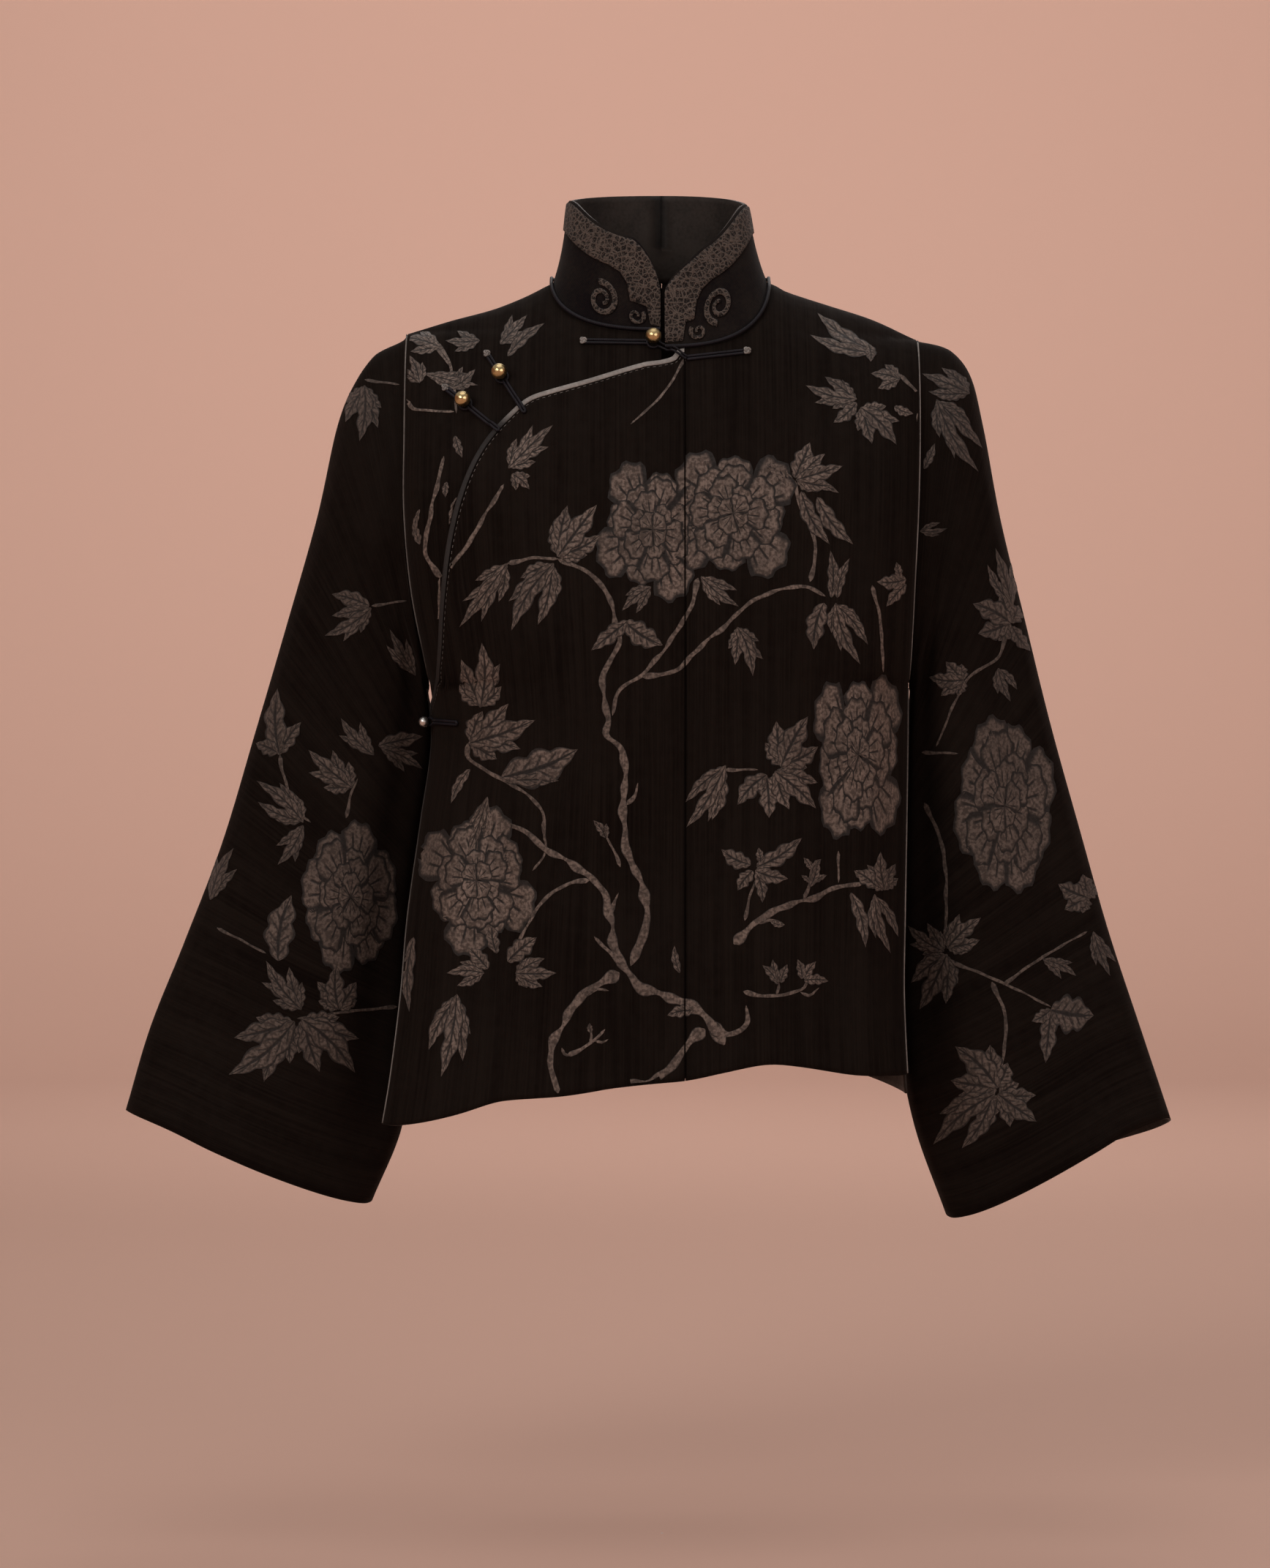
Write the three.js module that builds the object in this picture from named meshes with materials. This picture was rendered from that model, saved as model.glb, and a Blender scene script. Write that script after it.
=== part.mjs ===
// A short Chinese robe of figured velvet, worn on a general figure with the arms hanging, and hollow inside.
// Millimetres. +Z is up and the front faces -Y, so +X is the wearer's left. The origin is the middle of the
// shoulders, at the height where the collar meets the shoulder fold.
// The cut is the old straight one: each half of the body runs from the front hem over the shoulder to the back
// hem in one piece, a wide front overlap crosses to the wearer's right, and straight sleeves are sewn to the sides.
import * as THREE from "three";
import { mergeVertices } from "three/addons/utils/BufferGeometryUtils.js";

// ---------------------------------------------------------------- driving dimensions
const CLOTH = 1.8; // velvet with its backing
const GAP = 0.3; // between pieces at a seam
const SLEEVE_GAP = 1; // between the body and a sleeve
const LAYER = CLOTH + 1.1; // how far the overlap lies outside the under front
const UNDER_SINK = 2.4; // how far the under front sinks in where it is covered
const CENTRE_SEAM = 16; // the front centre seam hangs a little to the wearer's left
const BODY_HALF = 193; // centre to the sleeve seam at the shoulder
const NECK_HALF = { right: 82.5, left: 79.5 }; // centre to each side of the neck opening
const NECK_DROP_LEFT = 58.5; // neckline below the shoulder fold at the centre front
const NECK_DROP_RIGHT = 45;
const NECK_RISE_BACK = 6;
const NECK_POWER = 2.6; // how square the neckline is in front
const UNDERARM = -305; // height of the bottom of the armhole
const ARMHOLE_FRONT = 50; // how far the armhole reaches forward and back
const ARMHOLE_BACK = 46;
const SHOULDER_ROUND = 150; // height over which the front and back curve away from the shoulder fold
const SHOULDER_POWER = 1.8;
const VENT_TOP = -520; // the side vents are open below this
const VENT_OPEN = 10; // how far front and back stand from the side line at the hem
const BINDING_WIDTH = 3.8; // light silk round the overlap's free edge
const BINDING_RISE = 0.4; // how far it stands above the velvet
const COLLAR_CLOTH = 2.6;
const COLLAR_LIFT = 1; // the collar's foot above the neckline
const COLLAR_OPENING = 1.6; // half the gap between the collar's ends
// The collar's top edge: its reach to each side, forward and back, its height at each side and behind, and how far
// each front end dips below its side.
const COLLAR_TOP = {
  right: 71.5,
  left: 65,
  front: 60,
  back: 57,
  sideRight: 60,
  sideLeft: 57,
  backZ: 72,
  dipRight: 35,
  dipLeft: 46,
  dipPower: 1.55,
};
const COLLAR_FOOT = { front: 76, back: 73 }; // how far its foot reaches forward and back
const COLLAR_EASE = 0.3; // how much of the foot's squareness its top keeps
const COLLAR_HOLLOW = 1.8; // how far its side curves in between foot and top
const COLLAR_FRONT_Z = -15; // where the rounded collar ends start to part
const COLLAR_ROUND = { left: 40, right: 24, power: 1.6 };
const COLLAR_HEIGHT = 68;
// The lower edge of the collar's border by distance from the centre front, as a share of the collar's height.
const BORDER_INNER = 0.64;
const BORDER_EDGE = {
  right: [
    { x: 0, up: 0.08 },
    { x: 9, up: 0.08 },
    { x: 12, up: 0.31 },
    { x: 25, up: 0.31 },
    { x: 28, up: 0.5 },
    { x: 34, up: 0.6 },
    { x: 44, up: BORDER_INNER },
  ],
  left: [
    { x: 0, up: 0.08 },
    { x: 15, up: 0.08 },
    { x: 18, up: 0.31 },
    { x: 25, up: 0.31 },
    { x: 28, up: 0.5 },
    { x: 34, up: 0.6 },
    { x: 44, up: BORDER_INNER },
  ],
};
const BORDER_TOP = 0.97;
const APPLIQUE = 0.8; // how thick what is sewn on the collar is
const APPLIQUE_GAP = 0.5; // between it and the collar
const PIPING_RADIUS = 1.4;

// The curls in which the collar's border ends: middle from the centre front and up the collar (as a share of its
// height), outer radius, width of the strip where it begins, number of turns and the angle where it begins.
const COLLAR_CURLS = [
  { name: "right_small", side: -1, x: 20, up: 0.16, radius: 6.4, width: 3.4, turns: 1.15, from: 40 },
  { name: "right_large", side: -1, x: 47, up: 0.27, radius: 12, width: 4.8, turns: 1.5, from: 110 },
  { name: "left_small", side: 1, x: 27.5, up: 0.165, radius: 6.4, width: 3.4, turns: 1.15, from: 140 },
  { name: "left_large", side: 1, x: 46.5, up: 0.355, radius: 12, width: 4.8, turns: -1.5, from: 250 },
];
const CURL_END = { radius: 0.22, width: 0.55 }; // what is left of its radius and width at the inner end

// How finely the pieces are divided.
const NECK_STEPS = 7;
const SHOULDER_STEPS = 8;
const ARMHOLE_STEPS = 12;
const HEM_STEPS = 7;
const EDGE_STEPS = 26;
const SLEEVE_ROWS = 18;

// Half-widths and depths of the body by height. power is the roundness of the section, and side is how far the
// widest line of the section lies in front of the origin.
const BODY_SECTIONS = [
  { z: 20, right: 193, left: 193, front: 96, back: 90, power: 2.5, side: 0 },
  { z: -60, right: 193, left: 193, front: 102, back: 95, power: 2.5, side: 0 },
  { z: -120, right: 193, left: 192.5, front: 109, back: 99, power: 2.5, side: 0 },
  { z: -177, right: 193, left: 191, front: 115, back: 101, power: 2.5, side: 0 },
  { z: -236, right: 188, left: 188.5, front: 118, back: 100, power: 2.5, side: 0 },
  { z: -305, right: 176, left: 186.5, front: 117, back: 97, power: 2.5, side: 0 },
  { z: -349, right: 172, left: 186, front: 115, back: 94, power: 2.4, side: -4 },
  { z: -409, right: 180, left: 185, front: 113, back: 92, power: 2.3, side: -9 },
  { z: -482, right: 190, left: 183.5, front: 114, back: 95, power: 2.3, side: -14 },
  { z: -541, right: 195, left: 182.5, front: 116, back: 99, power: 2.3, side: -19 },
  { z: -600, right: 202, left: 184.5, front: 119, back: 103, power: 2.3, side: -23 },
  { z: -645, right: 209.5, left: 188, front: 121, back: 106, power: 2.3, side: -25 },
];

// The shoulder fold from the neck to the sleeve seam.
const SHOULDER_FOLD = [
  { x: 0, left: 0, right: 0 },
  { x: 55, left: 0, right: 0 },
  { x: 79, left: -0.5, right: -0.5 },
  { x: 84, left: -2, right: -1.5 },
  { x: 92, left: -6.8, right: -5.8 },
  { x: 106, left: -11.8, right: -12.6 },
  { x: 128, left: -18.8, right: -21.2 },
  { x: 160, left: -29.3, right: -29.8 },
  { x: 193, left: -44.5, right: -39.8 },
  { x: 210, left: -51, right: -44 },
];

// The hem by distance from the centre, wearer's right first.
const HEM = [
  { x: -215, front: -637, back: -640 },
  { x: -190, front: -635, back: -635 },
  { x: -153, front: -626, back: -627 },
  { x: -118, front: -615, back: -619 },
  { x: -73, front: -610, back: -612 },
  { x: -30, front: -603.5, back: -607 },
  { x: 16, front: -599, back: -603 },
  { x: 45, front: -593, back: -599 },
  { x: 78, front: -587, back: -597 },
  { x: 105, front: -589.5, back: -598 },
  { x: 139, front: -596, back: -601 },
  { x: 168, front: -598, back: -609 },
  { x: 195, front: -599, back: -619 },
];

// The free edge of the overlap, from the neck to the wearer's right side. x is measured as if the body were as
// wide there as it is at the shoulder.
const OVERLAP_EDGE = [
  { x: 16, z: -58 },
  { x: 11, z: -60 },
  { x: 7, z: -66 },
  { x: 0, z: -69 },
  { x: -14.7, z: -71.3 },
  { x: -56, z: -84 },
  { x: -84, z: -92 },
  { x: -100, z: -98 },
  { x: -116, z: -112 },
  { x: -130, z: -128 },
  { x: -141, z: -147 },
  { x: -151, z: -173 },
  { x: -159.7, z: -204 },
  { x: -166.8, z: -238 },
  { x: -175, z: -275 },
  { x: -184.7, z: -309 },
  { x: -190.5, z: -321 },
  { x: -192, z: -326 },
  { x: -192.7, z: -330 },
];

// Soft folds: where each starts and ends, how wide it is and how far it stands out (or, below zero, sinks in).
const FRONT_FOLDS = [
  { x1: -150, z1: -400, x2: -176, z2: -650, width: 20, depth: 7 },
  { x1: -112, z1: -420, x2: -128, z2: -650, width: 17, depth: -6 },
  { x1: -66, z1: -460, x2: -78, z2: -650, width: 24, depth: 4.5 },
  { x1: 6, z1: -330, x2: -8, z2: -640, width: 18, depth: -5 },
  { x1: 72, z1: -380, x2: 88, z2: -640, width: 26, depth: 7 },
  { x1: 118, z1: -300, x2: 130, z2: -640, width: 15, depth: -5.5 },
  { x1: 152, z1: -140, x2: 158, z2: -520, width: 13, depth: 4 },
  { x1: -134, z1: -180, x2: -146, z2: -380, width: 14, depth: -4 },
  { x1: 60, z1: -80, x2: 128, z2: -260, width: 14, depth: -3 },
];
const BACK_FOLDS = [
  { x1: -140, z1: -330, x2: -158, z2: -650, width: 20, depth: 7 },
  { x1: -96, z1: -300, x2: -108, z2: -650, width: 17, depth: -7 },
  { x1: -48, z1: -380, x2: -58, z2: -650, width: 22, depth: 6 },
  { x1: 2, z1: -200, x2: 4, z2: -640, width: 16, depth: -5 },
  { x1: 52, z1: -360, x2: 62, z2: -640, width: 24, depth: 6 },
  { x1: 104, z1: -280, x2: 112, z2: -640, width: 17, depth: -7 },
  { x1: 148, z1: -320, x2: 154, z2: -640, width: 16, depth: 5 },
  { x1: 112, z1: -90, x2: 160, z2: -260, width: 15, depth: -5 },
  { x1: -112, z1: -90, x2: -160, z2: -260, width: 15, depth: -5 },
];

// Sleeve sections from the armhole to the cuff: the outer ridge, the inner edge, the line between front and back,
// and how far the cloth stands in front of and behind that line.
const SLEEVE_CLEAR = 12; // the least distance of its outer side from the seam line at the cuff
const SLEEVE_ROUND = 260; // how strongly its folds face forward and back rather than up and out
const SLEEVE_RIGHT = [
  { outX: -193, outZ: -39.8, inX: -176, inZ: -305, mid: 0, front: 50, back: 46 },
  { outX: -214.2, outZ: -52.6, inX: -176.8, inZ: -312, mid: 4, front: 54, back: 49 },
  { outX: -232.1, outZ: -75.1, inX: -175.6, inZ: -322, mid: 10, front: 57, back: 52 },
  { outX: -246.6, outZ: -108.6, inX: -172.6, inZ: -336, mid: 17, front: 60, back: 54 },
  { outX: -262.9, outZ: -178.4, inX: -172, inZ: -364, mid: 26, front: 61, back: 55 },
  { outX: -286.7, outZ: -259.8, inX: -178.5, inZ: -408, mid: 34, front: 60, back: 55 },
  { outX: -310.9, outZ: -340.5, inX: -187, inZ: -460, mid: 40, front: 58, back: 55 },
  { outX: -337.1, outZ: -426.6, inX: -192, inZ: -520, mid: 44, front: 57, back: 55 },
  { outX: -366.7, outZ: -503.7, inX: -194, inZ: -580, mid: 46, front: 57, back: 55 },
  { outX: -392.8, outZ: -568.7, inX: -198.5, inZ: -643, mid: 48, front: 58, back: 56 },
  { outX: -411.1, outZ: -631.8, inX: -221.5, inZ: -701, mid: 44, front: 60, back: 57 },
];
const SLEEVE_LEFT = [
  { outX: 193, outZ: -44.5, inX: 186.5, inZ: -305, mid: 0, front: 50, back: 46 },
  { outX: 214.3, outZ: -49.6, inX: 187.4, inZ: -312, mid: 4, front: 54, back: 49 },
  { outX: 232.8, outZ: -69.1, inX: 186.9, inZ: -322, mid: 10, front: 57, back: 52 },
  { outX: 243.8, outZ: -108.6, inX: 185, inZ: -336, mid: 17, front: 60, back: 54 },
  { outX: 257.7, outZ: -178.4, inX: 183.2, inZ: -364, mid: 26, front: 61, back: 55 },
  { outX: 277.5, outZ: -256.7, inX: 182, inZ: -408, mid: 34, front: 60, back: 55 },
  { outX: 297.7, outZ: -336.5, inX: 181, inZ: -460, mid: 39, front: 58, back: 55 },
  { outX: 320.2, outZ: -416.4, inX: 180.5, inZ: -520, mid: 42, front: 57, back: 55 },
  { outX: 342.2, outZ: -493.5, inX: 182, inZ: -582, mid: 44, front: 57, back: 55 },
  { outX: 366, outZ: -566.4, inX: 193.5, inZ: -645, mid: 44, front: 58, back: 56 },
  { outX: 389.9, outZ: -640.1, inX: 217, inZ: -711, mid: 40, front: 60, back: 57 },
];
// Soft folds of the sleeves, by turn round the section (0 at the outer ridge, 90 at the front, 180 at the inner
// edge) and by share of the length.
const SLEEVE_FOLDS = [
  { turn1: 60, at1: 0.3, turn2: 52, at2: 1.0, width: 17, depth: -5 },
  { turn1: 100, at1: 0.5, turn2: 92, at2: 1.05, width: 20, depth: 4.5 },
  { turn1: 128, at1: 0.16, turn2: 136, at2: 0.8, width: 14, depth: -6 },
  { turn1: 112, at1: 0.02, turn2: 96, at2: 0.3, width: 11, depth: -4 },
  { turn1: 146, at1: 0.02, turn2: 128, at2: 0.2, width: 9, depth: 4 },
  { turn1: 212, at1: 0.05, turn2: 226, at2: 0.55, width: 14, depth: -6 },
  { turn1: 244, at1: 0.2, turn2: 250, at2: 0.9, width: 17, depth: 6 },
  { turn1: 282, at1: 0.3, turn2: 276, at2: 1.0, width: 16, depth: -6 },
  { turn1: 318, at1: 0.45, turn2: 312, at2: 1.05, width: 18, depth: 4 },
];
// How the cuff's edge dips in front and behind, for each sleeve.
const CUFF_DIP = {
  right: { single: 2.5, double: -3 },
  left: { single: -3, double: -7 },
};

// Fastenings: where each ball button sits on the front, and the direction (in degrees, 0 to the wearer's left, 90
// up) and reach of the strap that holds it and of the strap with its loop. drop is how far the loop's strap lies below.
const STRAP_START = 1.4;
const FASTENINGS = [
  {
    name: "neck",
    at: { x: -7, z: -54, radius: 6 },
    knot: { angle: 179, from: STRAP_START, to: 52 },
    loop: { angle: 7, from: 25, to: 70, drop: 15.5 },
  },
  {
    name: "chest_upper",
    at: { x: -119, z: -80, radius: 6 },
    knot: { angle: 122, from: STRAP_START, to: 22 },
    loop: { angle: -58, from: STRAP_START, to: 34, drop: 0 },
  },
  {
    name: "chest_lower",
    at: { x: -146, z: -100, radius: 6 },
    knot: { angle: 140, from: STRAP_START, to: 20 },
    loop: { angle: -40, from: STRAP_START, to: 34, drop: 0 },
  },
  { name: "side", at: { x: -190, z: -334, radius: 4 }, loop: { angle: -5, from: STRAP_START, to: 22, drop: 0 } },
];
const STRAP_WIDTH = 4.4;
const STRAP_THICKNESS = 1.3;
const STRAP_GAP = 1.1; // between a strap and the cloth
const STRAP_STEP = { side: 1.4, front: 3 }; // length of one division, finer where it goes round the side

const VELVET = { color: 0x17110e, roughness: 0.95, metalness: 0 };
const UNDER_VELVET = { color: 0x1a1411, roughness: 0.95, metalness: 0 };
const BORDER = { color: 0x3c332c, roughness: 0.9, metalness: 0 };
const EDGE_SILK = { color: 0x8b8580, roughness: 0.6, metalness: 0 };
const PIPING_SATIN = { color: 0x14101a, roughness: 0.45, metalness: 0 };
const BRASS = { color: 0xb59a5b, roughness: 0.32, metalness: 1 };
const SILVER = { color: 0xd8d6d0, roughness: 0.3, metalness: 1 };

// Points inside the hollows, which the outer faces look away from.
const BODY_MIDDLE = new THREE.Vector3(0, 0, -300);
const NECK_MIDDLE = new THREE.Vector3(0, 0, 20);

// ---------------------------------------------------------------- small tools
const radians = THREE.MathUtils.degToRad;
const lerp = THREE.MathUtils.lerp;
const clamp01 = (v) => THREE.MathUtils.clamp(v, 0, 1);
const smooth = (v) => clamp01(v) ** 2 * (3 - 2 * clamp01(v));
const spread = (count, make) => Array.from({ length: count + 1 }, (_, i) => make(i / count));

// Reads a column of a table at a place along another, on a smooth curve through the rows.
function read(table, key, column, at) {
  const rising = table[0][key] < table[table.length - 1][key] ? table : [...table].reverse();
  let i = 0;
  while (i < rising.length - 2 && at > rising[i + 1][key]) i++;
  const slope = (k) => {
    const before = rising[Math.max(k - 1, 0)];
    const after = rising[Math.min(k + 1, rising.length - 1)];
    return (after[column] - before[column]) / (after[key] - before[key]);
  };
  const a = rising[i];
  const b = rising[i + 1];
  const span = b[key] - a[key];
  const t = clamp01((at - a[key]) / span);
  const rise = 2 * t ** 3 - 3 * t ** 2 + 1;
  return (
    rise * a[column] +
    (1 - rise) * b[column] +
    (t ** 3 - 2 * t ** 2 + t) * span * slope(i) +
    (t ** 3 - t ** 2) * span * slope(i + 1)
  );
}

// Reads every column of a table of evenly numbered rows at a share of its length.
function readRow(table, share) {
  const rows = table.map((row, index) => ({ ...row, index }));
  const at = share * (table.length - 1);
  return Object.fromEntries(Object.keys(table[0]).map((column) => [column, read(rows, "index", column, at)]));
}

// The height of a soft fold at a point, where a and b are the fold's own two directions.
function foldAt(folds, a, b, start, end, from, to) {
  return folds.reduce((sum, fold) => {
    const along = (b - fold[from]) / (fold[to] - fold[from]);
    if (along < -0.2 || along > 1.3) return sum;
    const centre = lerp(fold[start], fold[end], along);
    const fade = smooth((along + 0.2) / 0.5) * smooth((1.3 - along) / 0.25);
    return sum + fold.depth * fade * Math.exp(-(((a - centre) / fold.width) ** 2));
  }, 0);
}

// ---------------------------------------------------------------- the worn body as one surface
const shoulderHeight = (x) => read(SHOULDER_FOLD, "x", x < 0 ? "right" : "left", Math.min(Math.abs(x), 210));
const halfWidth = (side, z) => read(BODY_SECTIONS, "z", side < 0 ? "right" : "left", z);
const armholeMiddle = (side) => (shoulderHeight(side * BODY_HALF) + UNDERARM) / 2;

// 0 at the top and bottom of the armhole and below it, 1 at its middle.
function armholeShare(side, z) {
  const half = shoulderHeight(side * BODY_HALF) - armholeMiddle(side);
  return Math.sqrt(Math.max(0, 1 - ((z - armholeMiddle(side)) / half) ** 2));
}

// Where the front or back ends at its side: the sleeve seam above the underarm, the side line below it.
function sideDepth(side, z, front) {
  const reach = front ? -ARMHOLE_FRONT : ARMHOLE_BACK;
  const vent = smooth((VENT_TOP - z) / (VENT_TOP + 600)) * (front ? -VENT_OPEN : VENT_OPEN);
  return read(BODY_SECTIONS, "z", "side", z) + reach * armholeShare(side, z) + vent;
}

// The neck opening: how far round it a point is, from 1 at the centre to 0 at the side.
const neckHalf = (side) => (side < 0 ? NECK_HALF.right : NECK_HALF.left);
const neckShare = (x) => Math.sqrt(Math.max(0, 1 - (x / neckHalf(x)) ** 2));

function necklineHeight(x, front) {
  const drop = x > 0 ? NECK_DROP_LEFT : NECK_DROP_RIGHT;
  const full = Math.max(0, 1 - Math.abs(x / neckHalf(x)) ** NECK_POWER) ** (1 / NECK_POWER);
  return front ? -drop * full : NECK_RISE_BACK * neckShare(x);
}

// The height where the front or back surface would reach the fold if there were no neck opening.
function ridgeHeight(x, front) {
  if (Math.abs(x) >= neckHalf(x) || front) return shoulderHeight(x);
  return NECK_RISE_BACK * neckShare(x) + 46 * neckShare(x) ** 1.8;
}

// A point of the body, by its share of the half-width (-1 wearer's right, 1 wearer's left) and its height.
function bodyPoint(share, z, front, lift = 0) {
  const side = share < 0 ? -1 : 1;
  const w = Math.min(1, Math.abs(share));
  const x = share * halfWidth(side, z);
  const rise = clamp01((ridgeHeight(share * BODY_HALF, front) - z) / SHOULDER_ROUND);
  const dome = (1 - (1 - rise) ** SHOULDER_POWER) ** (1 / SHOULDER_POWER);
  const depth = read(BODY_SECTIONS, "z", front ? "front" : "back", z) * dome * (front ? -1 : 1);
  const power = read(BODY_SECTIONS, "z", "power", z);
  const round = (1 - w ** power) ** (1 / power);
  const edge = sideDepth(side, z, front);
  const fold = foldAt(front ? FRONT_FOLDS : BACK_FOLDS, x, z, "x1", "x2", "z1", "z2") * round ** 0.5;
  const point = new THREE.Vector3(x, edge + (depth - edge) * round + (front ? -fold : fold), z);
  return lift ? point.addScaledVector(bodyNormal(share, z, front), lift) : point;
}

function bodyNormal(share, z, front) {
  const step = 0.004;
  const inner = Math.abs(share) > 0.5 ? share - Math.sign(share) * step : share;
  const across = bodyPoint(inner + (share < 0 ? -step : step), z, front).sub(bodyPoint(inner, z, front));
  const down = bodyPoint(inner, z - 2, front).sub(bodyPoint(inner, z, front));
  const normal = across.cross(down).normalize();
  return normal.y > 0 === front ? normal.negate() : normal;
}

// ---------------------------------------------------------------- cloth walls
// A sheet is a set of welded points and triangles facing outwards. A point's hold names the axes along which the
// wall's inner face stays level with it, as at a seam.
class Sheet {
  points = [];
  triangles = [];
  seen = new Map();

  add(point) {
    const key = [point.x, point.y, point.z].map((v) => Math.round(v * 1e3)).join();
    if (!this.seen.has(key)) {
      this.seen.set(key, this.points.length);
      this.points.push(point);
    }
    return this.seen.get(key);
  }

  // A grid of points, rows first.
  addGrid(rows) {
    const index = rows.map((row) => row.map((point) => this.add(point)));
    for (let i = 0; i + 1 < index.length; i++)
      for (let j = 0; j + 1 < index[i].length; j++) {
        const [a, b, c, d] = [index[i][j], index[i][j + 1], index[i + 1][j + 1], index[i + 1][j]];
        for (const triangle of [[a, b, c], [a, c, d]])
          if (new Set(triangle).size === 3) this.triangles.push(triangle);
      }
    return this;
  }

  addSheet(sheet) {
    const index = sheet.points.map((point) => this.add(point));
    for (const triangle of sheet.triangles) this.triangles.push(triangle.map((k) => index[k]));
    return this;
  }

  // Turns the faces so that they look away from a point inside the hollow.
  faceAwayFrom(inside) {
    const facing = this.triangles.reduce((sum, [a, b, c]) => {
      const [p, q, r] = [this.points[a], this.points[b], this.points[c]].map((v) => v.clone().sub(inside));
      return sum + p.dot(q.cross(r));
    }, 0);
    if (facing < 0) for (const triangle of this.triangles) triangle.reverse();
    return this;
  }

  normals() {
    const normals = this.points.map(() => new THREE.Vector3());
    for (const [a, b, c] of this.triangles) {
      const u = this.points[b].clone().sub(this.points[a]);
      const v = this.points[c].clone().sub(this.points[a]);
      const face = u.cross(v);
      for (const k of [a, b, c]) normals[k].add(face);
    }
    return normals.map((n) => n.normalize());
  }

  // The wall: this sheet outside, the same sheet moved in by the cloth's thickness, and a rim round every edge.
  wall(thickness) {
    const normals = this.normals();
    const count = this.points.length;
    const inner = this.points.map((p, i) => {
      const q = p.clone().addScaledVector(normals[i], -thickness);
      for (const axis of p.hold ?? "") q[axis] = p[axis];
      return q;
    });
    const faces = [...this.triangles, ...this.triangles.map(([a, b, c]) => [a + count, c + count, b + count])];
    const edges = new Set(this.triangles.flatMap(([a, b, c]) => [`${a},${b}`, `${b},${c}`, `${c},${a}`]));
    for (const edge of edges) {
      const [a, b] = edge.split(",").map(Number);
      if (!edges.has(`${b},${a}`)) faces.push([b, a, a + count], [b, a + count, b + count]);
    }
    return solidGeometry([...this.points, ...inner], faces);
  }
}

function solidGeometry(points, faces) {
  const geometry = new THREE.BufferGeometry().setFromPoints(points);
  geometry.setIndex(faces.flat());
  geometry.computeVertexNormals();
  return geometry;
}

function held(point, axes) {
  point.hold = axes;
  return point;
}

const robe = new THREE.Group();
robe.name = "robe";

function addPiece(name, geometry, finish) {
  const mesh = new THREE.Mesh(geometry, new THREE.MeshStandardMaterial(finish));
  mesh.name = name;
  robe.add(mesh);
}

// ---------------------------------------------------------------- the body's pieces
// Where the columns of a panel stand at the shoulder: round the neck, then along the shoulder fold.
const NECK_RING = 2.9;
const neckTurns = (side, from) => {
  const start = Math.asin((from / neckHalf(side)) ** (NECK_RING / 2));
  return spread(NECK_STEPS, (t) => lerp(start, Math.PI / 2, t));
};
const neckX = (side, turn) => side * neckHalf(side) * Math.sin(turn) ** (2 / NECK_RING);
const panelColumns = (side, from) => [
  ...neckTurns(side, from).map((turn) => neckX(side, turn)),
  ...spread(SHOULDER_STEPS, (t) => side * lerp(neckHalf(side), BODY_HALF, 1 - (1 - t) ** 1.7)).slice(1),
];

// Columns hang straight near the centre seams and follow the side further out.
function columnShare(x, z) {
  const half = halfWidth(x < 0 ? -1 : 1, z);
  return x / lerp(half, BODY_HALF, smooth((Math.abs(x) - 20) / 60));
}

// The heights of a column, from the neckline or shoulder fold past the underarm to the hem.
function columnHeights(x, front, bottom) {
  const start = Math.abs(x) < neckHalf(x) - 1e-6 ? necklineHeight(x, front) : shoulderHeight(x);
  const seam = smooth((Math.abs(x) / BODY_HALF - 0.6) / 0.4);
  const upper = spread(ARMHOLE_STEPS, (t) => {
    const ease = lerp(lerp(t, t * t, 0.75), (1 - Math.cos(Math.PI * t)) / 2, seam);
    return lerp(start, UNDERARM, ease);
  });
  return [...upper, ...spread(HEM_STEPS, (t) => lerp(UNDERARM, bottom, t)).slice(1)];
}

const hemHeight = (x, front) => read(HEM, "x", front ? "front" : "back", x);
const hemX = (x) => columnShare(x, -610) * halfWidth(x < 0 ? -1 : 1, -610);

function bodyPanel(sheet, side, from, front, bottomOf, sinkOf = () => 0) {
  const columns = panelColumns(side, from).map((x, j, all) => {
    const atSide = j === all.length - 1;
    return columnHeights(x, front, bottomOf(hemX(x))).map((z, k) => {
      const point = bodyPoint(columnShare(x, z), z, front, atSide ? 0 : -sinkOf(x, z));
      if (k === 0 && Math.abs(x) > neckHalf(side) - 1e-6) point.y = 0; // the fold, shared by front and back
      if (j === 0) return held(point, "x");
      if (!atSide) return point;
      if (z > UNDERARM + 1) return held(point.setX(point.x - side * GAP), "x");
      point.y += front ? -GAP : GAP;
      return held(point, "y");
    });
  });
  const grid = new Sheet().addGrid(columns).faceAwayFrom(BODY_MIDDLE);
  sheet.addSheet(grid);
}

function bodyLeft() {
  const sheet = new Sheet();
  bodyPanel(sheet, 1, CENTRE_SEAM + GAP, true, (x) => hemHeight(x, true));
  bodyPanel(sheet, 1, GAP / 2, false, (x) => hemHeight(x, false));
  return sheet.wall(CLOTH);
}

// The wearer's right half: the back, and over the shoulder the shorter under front that the overlap covers.
function bodyRight() {
  const sheet = new Sheet();
  const sink = (x, z) => {
    const nearArmhole = smooth((-x - 150) / 43) * smooth((z - UNDERARM + 30) / 30);
    return UNDER_SINK * smooth((overlapEdge(x) - 4 - z) / 30) * (1 - nearArmhole);
  };
  bodyPanel(sheet, -1, 1, true, (x) => -545 - 0.1 * Math.abs(x), sink);
  bodyPanel(sheet, -1, GAP / 2, false, (x) => hemHeight(x, false));
  return sheet.wall(CLOTH);
}

// ---------------------------------------------------------------- the overlap and its bound edge
const overlapEdge = (x) => read(OVERLAP_EDGE, "x", "z", x);

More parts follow.
